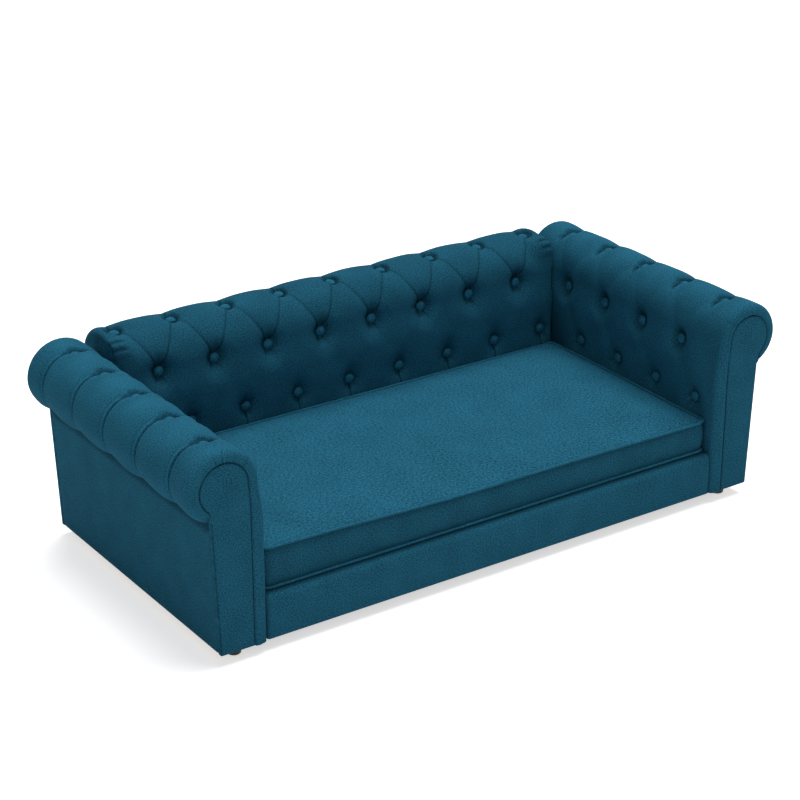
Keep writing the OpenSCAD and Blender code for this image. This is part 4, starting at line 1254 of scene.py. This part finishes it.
# seat cushion; lift and drop: of the top seam, where they start and how far they run.
# box: shares of the side's height, and the painted shade there, darkest by the seams
cushionForm = {
    "corner": 13 * mm,
    "cell": 6 * mm,
    "pipeRadius": 2.0 * mm,
    "crown": 5 * mm,
    "seamPuff": 1.6 * mm,
    "boxBulge": 3.2 * mm,
    "boxLow": 2.5 * mm,
    "box": ((0.04, 0.6), (0.14, 0.35), (0.28, 0.25), (0.42, 0.22), (0.56, 0.2), (0.70, 0.2),
            (0.84, 0.22), (0.96, 0.5)),
    "front": (268 * mm, 280 * mm),
    "leftLift": (9 * mm, -20 * mm, 340 * mm),
    "rightDrop": (3 * mm, 50 * mm, 320 * mm),
    "pressure": 2.0,
    "frames": 16,
    "cap": 5 * mm,
}
simulated = {
    "quality": 6,
    "mass": 0.25,
    "tension_stiffness": 18,
    "compression_stiffness": 18,
    "shear_stiffness": 8,
    "bending_stiffness": 0.6,
    "use_pressure": True,
    "uniform_pressure_force": cushionForm["pressure"],
    "vertex_group_mass": "held",
    "shrink_min": -0.004,
}
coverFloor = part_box("cushion_cover")[0].z
lowPipeZ = sum(corner.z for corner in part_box("bottom_piping")) / 2
topPipeZ = (pipeLow.z + pipeHigh.z) / 2
cushionHalf = pipeHigh.x
cushionHalfDeep = (pipeHigh.y - pipeLow.y) / 2
cushionMidY = (pipeHigh.y + pipeLow.y) / 2


# the top seam stands higher at the front's left end than at its right
def seamLift(x, y):
    reach, length = cushionForm["front"]
    front = smooth((reach - (y - cushionMidY + cushionHalfDeep)) / length)
    lift, start, run = cushionForm["leftLift"]
    left = lift * smooth((start - x) / run)
    drop, start, run = cushionForm["rightDrop"]
    return front * (left - drop * smooth((x - start) / run))


# even steps with a narrow one at each end, beside the seam
def edgedSteps(half, count):
    narrow = 2 * mm
    inner = np.linspace(narrow - half, half - narrow, count - 2)
    return np.concatenate([[-half], inner, [half]])


# square grid laid over a rectangle with round corners
def roundedGrid(halfX, halfY, corner, nx, ny):
    x, y = np.meshgrid(edgedSteps(halfX, nx), edgedSteps(halfY, ny), indexing="ij")
    p = np.clip((np.abs(x) - halfX + corner) / corner, 0, 1)
    q = np.clip((np.abs(y) - halfY + corner) / corner, 0, 1)
    px, py = p * np.sqrt(1 - q * q / 2), q * np.sqrt(1 - p * p / 2)
    x = np.where(p > 0, np.sign(x) * (halfX - corner + corner * px), x)
    y = np.where(q > 0, np.sign(y) * (halfY - corner + corner * py), y)
    return x, y, np.minimum(halfX - np.abs(x), halfY - np.abs(y))


# an upper and a lower grid, and the points round the upper one's edge
def twoSides(nx, ny):
    faces = gridFaces(nx, ny)
    faces += [tuple(nx * ny + k for k in reversed(face)) for face in faces]
    path = [(i, 0) for i in range(nx - 1)] + [(nx - 1, j) for j in range(ny - 1)]
    path += [(i, ny - 1) for i in range(nx - 1, 0, -1)] + [(0, j) for j in range(ny - 1, 0, -1)]
    return faces, [i * ny + j for i, j in path]


def makeCushion():
    c = cushionForm
    nx = int(round(2 * cushionHalf / c["cell"])) + 1
    ny = int(round(2 * cushionHalfDeep / c["cell"])) + 1
    inset = 2 * c["pipeRadius"]
    halfX, halfY = cushionHalf - inset, cushionHalfDeep - inset
    x, y, near = roundedGrid(halfX, halfY, c["corner"] - inset, nx, ny)
    y = y + cushionMidY
    crown = c["crown"] * (1 - (1 - np.clip(near / halfY, 0, 1)) ** 3)
    crown += c["seamPuff"] * (1 - bell(near, 3 * mm, 1))
    # painted shade along the top seam
    marks = list(0.5 * bell(near, 1.6 * mm).ravel()) + [0.0] * (nx * ny)
    top = np.stack([x, y, topPipeZ + seamLift(x, y) + crown], -1)
    bottom = np.stack([x, y, np.full_like(x, coverFloor)], -1)
    points = list(np.concatenate([top, bottom]).reshape(-1, 3))
    uv = [(0.6 * px, 0.6 * py) for px, py in zip(x.ravel(), y.ravel())] * 2
    faces, highest = twoSides(nx, ny)
    lowest = [nx * ny + k for k in highest]
    edge = np.column_stack([x.ravel(), y.ravel()])[highest]
    way, lengths, count = outward(edge), arcLengths(edge), len(edge)
    start = len(points)
    floor = coverFloor + c["boxLow"]
    topEdge = topPipeZ + seamLift(*edge.T)
    levels = [lowest]
    for share, sidePaintedShade in c["box"]:
        bulge = c["boxBulge"] * math.sin(math.pi * share) ** 0.6
        levels.append(list(range(len(points), len(points) + count)))
        marks += [sidePaintedShade] * count
        z = floor + (topEdge - floor) * share
        points += list(np.column_stack([edge + way * bulge, z]))
        uv += list(np.column_stack([lengths, z]))
    levels.append(highest)
    for below, above in zip(levels, levels[1:]):
        for k in range(count):
            n = (k + 1) % count
            faces.append((below[k], below[n], above[n], above[k]))
    piece = newPiece("cushionCover", points, faces, clothMaterial, uv, marks)
    return piece, set(highest) | set(range(nx * ny, start)), highest


# a cloth simulation under pressure, with the seams and the underside held
def inflate(piece, pins):
    rest = np.array([v.co for v in piece.data.vertices])
    piece.vertex_groups.new(name="held").add(sorted(pins), 1.0, "REPLACE")
    modifier = piece.modifiers.new("cloth", "CLOTH")
    for name, value in simulated.items():
        setattr(modifier.settings, name, value)
    modifier.settings.effector_weights.gravity = 0
    modifier.collision_settings.use_collision = False
    scene = bpy.context.scene
    for step in range(1, cushionForm["frames"] + 1):
        scene.frame_set(step)
    evaluated = piece.evaluated_get(bpy.context.evaluated_depsgraph_get())
    shift = np.array([v.co for v in evaluated.to_mesh().vertices]) - rest
    evaluated.to_mesh_clear()
    piece.modifiers.clear()
    piece.vertex_groups.clear()
    scene.frame_set(1)
    size = np.linalg.norm(shift, axis=1)
    cap = cushionForm["cap"]
    shift *= (cap * np.tanh(size / cap) / np.maximum(size, 1e-9))[:, None]
    piece.data.vertices.foreach_set("co", (rest + shift).astype(np.float32).ravel())
    piece.data.update()


cushion, cushionPins, seamPoints = makeCushion()
outwardFaces(cushion)
inflate(cushion, cushionPins)
for vertex in cushion.data.vertices:
    vertex.co.y = min(vertex.co.y, zipLow.y - 0.1 * mm)
cushionEdge = np.array([tuple(cushion.data.vertices[k].co) for k in seamPoints])
addModifier(cushion, "SUBSURF", levels=1, render_levels=1)
finish(applied(cushion), "cloth", "cushion", "cushion_cover")
print("cushion made")


# tree: cloth-covered cord along a closed curve
def makePipingTree():
    tree, given, result = geometryTree("pipingCord", Radius=2.5 * mm, Sides=14,
                                       Cloth="Material")
    circle = addNode(tree, "GeometryNodeCurvePrimitiveCircle", {
        "Resolution": given["Sides"], "Radius": given["Radius"]})
    captures = []
    for source in (given["Geometry"], circle.outputs["Curve"]):
        capture = tree.nodes.new("GeometryNodeCaptureAttribute")
        capture.capture_items.new("FLOAT", "Length")
        length = tree.nodes.new("GeometryNodeSplineParameter").outputs["Length"]
        tree.links.new(source, capture.inputs["Geometry"])
        tree.links.new(length, capture.inputs[1])
        captures.append(capture.outputs)
    along, around = captures
    sweep = addNode(tree, "GeometryNodeCurveToMesh", {
        "Curve": along["Geometry"], "Profile Curve": around["Geometry"]})
    join = addNode(tree, "ShaderNodeCombineXYZ", {"X": along[1], "Y": around[1]})
    store = addNode(tree, "GeometryNodeStoreNamedAttribute", {
        "Geometry": sweep.outputs[0], "Name": "weave", "Value": join.outputs[0]},
        data_type="FLOAT2", domain="CORNER")
    even = addNode(tree, "GeometryNodeSetShadeSmooth", {"Geometry": store.outputs[0]})
    return endTree(tree, even.outputs[0], given["Cloth"], result)


pipingTree = makePipingTree()


# the cord lies outside the seam by its own radius
def makePiping(name, node, edge):
    radius = cushionForm["pipeRadius"]
    points = edge + np.column_stack([outward(edge) * radius, np.zeros(len(edge))])
    curve = bpy.data.curves.new(name + "Path", "CURVE")
    curve.dimensions = "3D"
    spline = curve.splines.new("POLY")
    spline.points.add(len(points) - 1)
    for spot, p in zip(spline.points, points):
        spot.co = (*p, 1)
    spline.use_cyclic_u = True
    path = linked(name + "Path", curve)
    useTree(path, pipingTree, Radius=radius, Cloth=pipingMaterial)
    mesh = evaluatedMesh(path)
    mesh.name = name
    bpy.data.objects.remove(path)
    finish(linked(name, mesh), "piping_cloth", "cushion", node)


makePiping("topPiping", "top_piping", cushionEdge)
makePiping("bottomPiping", "bottom_piping",
           np.column_stack([cushionEdge[:, :2], np.full(len(cushionEdge), lowPipeZ)]))
print("piping made")

# foam block inside the cover
foamForm = {"edge": 4 * mm, "corner": 8 * mm, "cell": 14 * mm, "inset": 1.5 * mm}


def makeFoam():
    f = foamForm
    low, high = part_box("cushion_foam")
    halfX, halfY = high.x - f["inset"], (high.y - low.y) / 2 - f["inset"]
    nx, ny = int(2 * halfX / f["cell"]) + 1, int(2 * halfY / f["cell"]) + 1
    x, y, near = roundedGrid(halfX, halfY, f["corner"], nx, ny)
    fall = f["edge"] * np.clip(1 - near / f["edge"], 0, 1) ** 2
    cut = 0.4 * mm * unevenness(x, y, 120 * mm, 31)
    y = y + (high.y + low.y) / 2
    points = np.concatenate([np.stack([x, y, high.z - 1 * mm - fall + cut], -1),
                             np.stack([x, y, low.z + 0.5 * mm + fall], -1)])
    faces, loop = twoSides(nx, ny)
    start = nx * ny
    faces += [(start + a, start + b, b, a) for a, b in zip(loop, loop[1:] + loop[:1])]
    foam = outwardFaces(newPiece("cushionFoam", points, faces, foamMaterial))
    finish(foam, "foam", "cushion", "cushion_foam")


makeFoam()

# zip: two woven tapes with interlocking teeth between them.
# Profile of a tape: share of its height, ridge in mm and how much darker it is there: at both
# edges and along the raised line
zipForm = {
    "tape": 0.5 * mm,
    "gap": 1.6 * mm,
    "profile": ((0, 0.5, 0.3), (0.08, 0.35, 0), (0.3, 0, 0), (0.55, 0, 0), (0.72, 0.25, 0.5),
                (0.8, 0.25, 0.5), (0.88, 0, 0), (1.0, 0, 0.4)),
    "pitch": 2.5 * mm,
    "tooth": (1.3 * mm, 1.2 * mm, 2.6 * mm),
    "root": 0.5 * mm,
    "cut": 0.25 * mm,
    "ends": 5 * mm,
}


def makeTapes():
    z = zipForm
    shares, ridge, tapeDarkening = np.array(z["profile"]).T
    x, s = np.meshgrid(np.linspace(zipLow.x, zipHigh.x, 141), shares, indexing="ij")
    slow = 0.12 * mm * unevenness(x, s * 0.01, 45 * mm, 41)
    deep = zipLow.y + z["tape"] + ridge[None, :] * mm + slow
    rows, count = x.shape
    marks = np.concatenate([np.tile(tapeDarkening, (rows, 1)), np.zeros((rows, count))], 1)
    for name, way, far in (("upperTape", 1, zipHigh.z), ("lowerTape", -1, zipLow.z)):
        near = zipMiddle + way * z["gap"] / 2
        front = np.stack([x, deep, near + (far - near) * s], -1)
        rear = front.copy()
        rear[..., 1] = zipLow.y
        points = np.concatenate([front, rear[:, ::-1]], 1)
        tape = newPiece(name, points, cappedGrid(rows, 2 * count), pipingMaterial,
                        points[..., [0, 2]], marks)
        finish(outwardFaces(tape), "piping_cloth", "cushion", "cushion_zip")


# tree: a row of teeth, and a second row turned over and set half a step on
def makeTeethTree():
    tree, given, result = geometryTree("zipTeeth", Tooth="Object", Metal="Material",
                                       Count=10, Pitch=2.5 * mm, Turn=math.pi)
    step, aside, over = (
        addNode(tree, "ShaderNodeCombineXYZ", {axis: value}).outputs[0] for axis, value in (
            ("X", given["Pitch"]), ("X", times(tree, given["Pitch"], 0.5)),
            ("Y", given["Turn"])))
    line = addNode(tree, "GeometryNodeMeshLine", {"Count": given["Count"], "Offset": step})
    shifted = addNode(tree, "GeometryNodeTransform", {
        "Geometry": line.outputs["Mesh"], "Translation": aside})
    join = tree.nodes.new("GeometryNodeJoinGeometry")
    rows = (copies(tree, line.outputs["Mesh"], given["Tooth"]),
            copies(tree, shifted.outputs["Geometry"], given["Tooth"],
                   Rotation=toRotation(tree, over)))
    for row in rows:
        tree.links.new(row, join.inputs[0])
    return endTree(tree, join.outputs[0], given["Metal"], result)


def makeTeeth():
    z = zipForm
    wide, deep, high = z["tooth"]
    points = []
    for y, c in ((deep, z["cut"]), (deep - z["cut"], 0.0), (0, 0.0)):
        x0, x1, z0, z1 = c - wide / 2, wide / 2 - c, c - z["root"], high - c
        points += [(x0, y, z0), (x1, y, z0), (x1, y, z1), (x0, y, z1)]
    tooth = outwardFaces(newPiece("toothMaster", points, cappedGrid(3, 4, -1), zipMaterial))
    teeth = newPiece("zipTeeth", [(0, 0, 0)], [], zipMaterial)
    count = int((zipHigh.x - zipLow.x - 2 * z["ends"]) / z["pitch"])
    useTree(teeth, makeTeethTree(), Tooth=tooth, Metal=zipMaterial, Count=count,
            Pitch=z["pitch"])
    applied(teeth)
    # the tree's result starts at the first place, so the mesh is moved and not the object
    start = (zipLow.x + z["ends"], zipHigh.y - 1.4 * mm, zipMiddle)
    teeth.data.transform(Matrix.Translation(start))
    bpy.data.objects.remove(tooth)
    finish(teeth, "zip_metal", "cushion", "cushion_zip")


makeTapes()
makeTeeth()


# a loop between an ellipse and a rectangle; a lower power is nearer to a rectangle
def roundedLoop(centre, wide, tall, power, count=28):
    loop = []
    for k in range(count):
        across, up = (math.copysign(abs(part) ** power, part) for part in (
            math.cos(2 * math.pi * k / count), math.sin(2 * math.pi * k / count)))
        loop.append((wide / 2 * across, centre + tall / 2 * up))
    return loop


# a plate from y0 to y1, with a hole in it where one is given
def addPlate(points, faces, middle, y0, y1, outline, hole=None):
    start, count = len(points), len(outline)
    for loop in (outline, hole) if hole else (outline,):
        for y in (y0, y1):
            points.extend((middle + a, y, b) for a, b in loop)
    low, high, holeLow, holeHigh = (start + k * count for k in range(4))
    for k in range(count):
        n = (k + 1) % count
        faces.append((low + k, low + n, high + n, high + k))
        if hole:
            faces.append((holeLow + n, holeLow + k, holeHigh + k, holeHigh + n))
            faces.append((high + k, high + n, holeHigh + n, holeHigh + k))
            faces.append((low + n, low + k, holeLow + k, holeLow + n))
    if not hole:
        faces.append(tuple(low + k for k in reversed(range(count))))
        faces.append(tuple(high + k for k in range(count)))


# slider: a shield-shaped body, a bridge and a pull with a slot (width, height, power)
sliderForm = {
    "bodyPower": 0.55,
    "bodyThick": 0.9 * mm,
    "taper": 0.18,
    "bridge": (2.4 * mm, 6 * mm, 0.6),
    "bridgeFrom": 0.7 * mm,
    "tabWide": 5 * mm,
    "tabPower": 0.4,
    "tabDown": 1.0 * mm,
    "tabFrom": 1.0 * mm,
    "slot": (2.2 * mm, 5 * mm, 0.7),
    "slotDown": 4.2 * mm,
    "bevel": 0.15 * mm,
}


def makeSlider():
    s = sliderForm
    low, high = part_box("zip_slider")
    wide, middle = high.x - low.x, (low.x + high.x) / 2
    tabTop = zipMiddle - s["tabDown"]
    body = roundedLoop(zipMiddle, wide, 2 * (high.z - zipMiddle), s["bodyPower"])
    body = [(a * (1 + s["taper"] * a / (6 * mm)) / (1 + s["taper"]), b) for a, b in body]
    bridge = roundedLoop(zipMiddle, *s["bridge"])
    tab = roundedLoop((tabTop + low.z) / 2, s["tabWide"], tabTop - low.z, s["tabPower"])
    slot = roundedLoop(tabTop - s["slotDown"], *s["slot"])
    points, faces = [], []
    addPlate(points, faces, middle, low.y, low.y + s["bodyThick"], body)
    addPlate(points, faces, middle, low.y + s["bridgeFrom"], high.y, bridge)
    addPlate(points, faces, middle, low.y + s["tabFrom"], high.y - s["bevel"], tab, slot)
    slider = outwardFaces(newPiece("zipSlider", points, faces, zipMaterial))
    addModifier(slider, "BEVEL", width=s["bevel"], segments=2, limit_method="ANGLE")
    applied(slider)
    slider.data.polygons.foreach_set("use_smooth", [False] * len(slider.data.polygons))
    finish(slider, "zip_metal", "zip_slider", "zip_slider")


makeSlider()
print("foam and zip made")

# dust cloth under the base: stretched over the rails, with a slight sag between them
dustForm = {"sag": 2.2 * mm, "step": 9 * mm, "thick": 0.5 * mm, "held": 18 * mm}


def makeDustCloth():
    d = dustForm
    low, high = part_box("dust_cloth")
    wide, deep, held = high.x - low.x, high.y - low.y, d["held"]
    x, y = np.meshgrid(np.linspace(low.x, high.x, int(wide / d["step"])),
                       np.linspace(low.y, high.y, int(deep / d["step"])), indexing="ij")
    share = np.clip((y - low.y - held) / (deep - 2 * held), 0, 1)
    across = np.clip((x - low.x - held) / (wide - 2 * held), 0, 1)
    sag = d["sag"] * (4 * share * (1 - share)) ** 0.7 * (4 * across * (1 - across)) ** 0.5
    sag = sag + 0.25 * mm * unevenness(x, y, 70 * mm, 51) * (sag > 0)
    z = low.z + 0.55 * mm - sag * (0.8 + 0.2 * np.cos(across * 8 * math.pi))
    sheet = newPiece("dustCloth", np.stack([x, y, z], -1), gridFaces(*x.shape), feltMaterial,
                     np.stack([x, y], -1))
    addModifier(sheet, "SOLIDIFY", thickness=d["thick"], offset=0)
    finish(outwardFaces(applied(sheet)), "dust_cloth", sofaBody, "dust_cloth")


makeDustCloth()


# tree: one staple on every point, turned as the point says
def makeStapleTree():
    tree, given, result = geometryTree("staples", Staple="Object", Metal="Material")
    turn = toRotation(tree, pointVector(tree, "turn"))
    placing = copies(tree, given["Geometry"], given["Staple"], Rotation=turn)
    return endTree(tree, placing, given["Metal"], result)


# path: across and up, of one half of the wire
stapleForm = {"width": 10 * mm, "wire": 0.9 * mm, "spacing": 48 * mm, "edge": 7 * mm,
              "path": ((0, 1.6 * mm), (0, 0.25 * mm), (0.5 * mm, -0.1 * mm))}


def makeStaple():
    half, wire = stapleForm["width"] / 2, stapleForm["wire"] / 2
    path = [(-half + inset, high) for inset, high in stapleForm["path"]]
    path += [(-a, high) for a, high in reversed(path)]
    points = []
    for a, b in path:
        thin, high = a - wire * 0.7 * (1 if a > 0 else -1), b + 0.35 * mm
        points += [(thin, -wire, high), (thin, wire, high), (a, wire, b), (a, -wire, b)]
    return outwardFaces(newPiece("stapleMaster", points, cappedGrid(len(path), 4, -1),
                                 steelMaterial))


def makeStaples():
    s = stapleForm
    low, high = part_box("dust_cloth")
    x0, x1 = low.x + s["edge"], high.x - s["edge"]
    y0, y1 = low.y + s["edge"], high.y - s["edge"]
    draw = np.random.RandomState(61)
    spots, turns = [], []
    corners = ((x0, y0), (x1, y0), (x1, y1), (x0, y1))
    for (ax, ay), (bx, by) in zip(corners, corners[1:] + corners[:1]):
        count = int(math.hypot(bx - ax, by - ay) / s["spacing"])
        for k in range(count):
            share = (k + 0.5 + draw.uniform(-0.08, 0.08)) / count
            spots.append((ax + (bx - ax) * share, ay + (by - ay) * share, low.z))
            turns.append((0, 0, math.atan2(by - ay, bx - ax) + draw.uniform(-0.1, 0.1)))
    staple = makeStaple()
    staples = newPiece("dustStaples", spots, [], steelMaterial)
    addVectors(staples, "turn", turns)
    useTree(staples, makeStapleTree(), Staple=staple, Metal=steelMaterial)
    finish(applied(staples), "steel", sofaBody)
    bpy.data.objects.remove(staple)


makeStaples()
print("dust cloth made")

# packing boards sit a little inside the covers that are drawn round them
boardTrim = {"ends": 11 * mm, "face": 1.6 * mm}


def setMaterial(piece, material):
    piece.data.materials.clear()
    piece.data.materials.append(material)


def makeTrimmedBoard(node, side):
    board = outwardFaces(linked(node + "Trimmed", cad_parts[node].data.copy()))
    low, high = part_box(node)
    for vertex in board.data.vertices:
        spot = vertex.co
        if spot.y < low.y + mm:
            spot.y += boardTrim["ends"]
        if spot.y > high.y - mm:
            spot.y -= boardTrim["ends"]
        if abs(abs(spot.x) - seatHalf) < mm:
            spot.x += side * boardTrim["face"]
    setMaterial(board, timberMaterial)
    finish(board, "timber", sofaBody, node)


makeTrimmedBoard("left_packing_board", -1)
makeTrimmedBoard("right_packing_board", 1)
print("boards trimmed")

# what stays as the frame has it gets its own finish, by the ending of its name
finishes = (
    (("_rail", "_bar", "_post", "back_packing_board"), timberMaterial),
    (("_end_board", "_inner_board", "seat_deck"), plyMaterial),
    (("_roll_former",), cardMaterial),
    (("_screws", "_bolts", "_washers", "_nuts"), steelMaterial),
    (("_foot",), plasticMaterial),
)
for name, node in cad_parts.items():
    for endings, material in finishes:
        if name.endswith(endings):
            setMaterial(node, material)


# 1 for rays from the camera, straight or by way of a shiny or clear surface
def seenRays(tree):
    rays = tree.nodes.new("ShaderNodeLightPath").outputs
    return mathNode(tree, "MAXIMUM", rays["Is Camera Ray"], mathNode(
        tree, "MAXIMUM", rays["Is Glossy Ray"], rays["Is Transmission Ray"]))


# floor, light and world; a light: strength, angle, tilt and turn
stage = {
    "floorHalf": 14.0,
    "floorColor": (0.86, 0.86, 0.87, 1),
    "floorGlow": 0.6,
    "worldLight": 0.13,
    "lights": {"topLight": (2.9, 42, 16, 106), "frontLight": (0.45, 60, 52, -48)},
}


def makeFloor():
    half = stage["floorHalf"]
    corners = [(-half, -half, 0), (half, -half, 0), (half, half, 0), (-half, half, 0)]
    material = bpy.data.materials.new("paleFloor")
    material.use_nodes = True
    tree = material.node_tree
    tree.nodes.clear()
    diffuse = addNode(tree, "ShaderNodeBsdfDiffuse", {"Color": stage["floorColor"]})
    glow = addNode(tree, "ShaderNodeEmission", {
        "Strength": times(tree, seenRays(tree), stage["floorGlow"])})
    both = addNode(tree, "ShaderNodeAddShader", {0: diffuse.outputs[0], 1: glow.outputs[0]})
    addNode(tree, "ShaderNodeOutputMaterial", {"Surface": both.outputs[0]})
    newPiece("floor", corners, [(0, 1, 2, 3)], material)


def makeLight():
    world = bpy.data.worlds.new("studio")
    bpy.context.scene.world = world
    world.use_nodes = True
    tree = world.node_tree
    back = tree.nodes["Background"]
    back.inputs["Color"].default_value = (1, 1, 1, 1)
    plain = stage["worldLight"]
    tree.links.new(plus(tree, times(tree, seenRays(tree), 1 - plain), plain),
                   back.inputs["Strength"])
    for name, (strength, angle, tilt, turn) in stage["lights"].items():
        data = bpy.data.lights.new(name, "SUN")
        data.energy, data.angle = strength, math.radians(angle)
        linked(name, data).rotation_euler = (math.radians(tilt), 0, math.radians(turn))
    bpy.context.scene.view_settings.view_transform = "Standard"


makeFloor()
makeLight()
print("stage made")
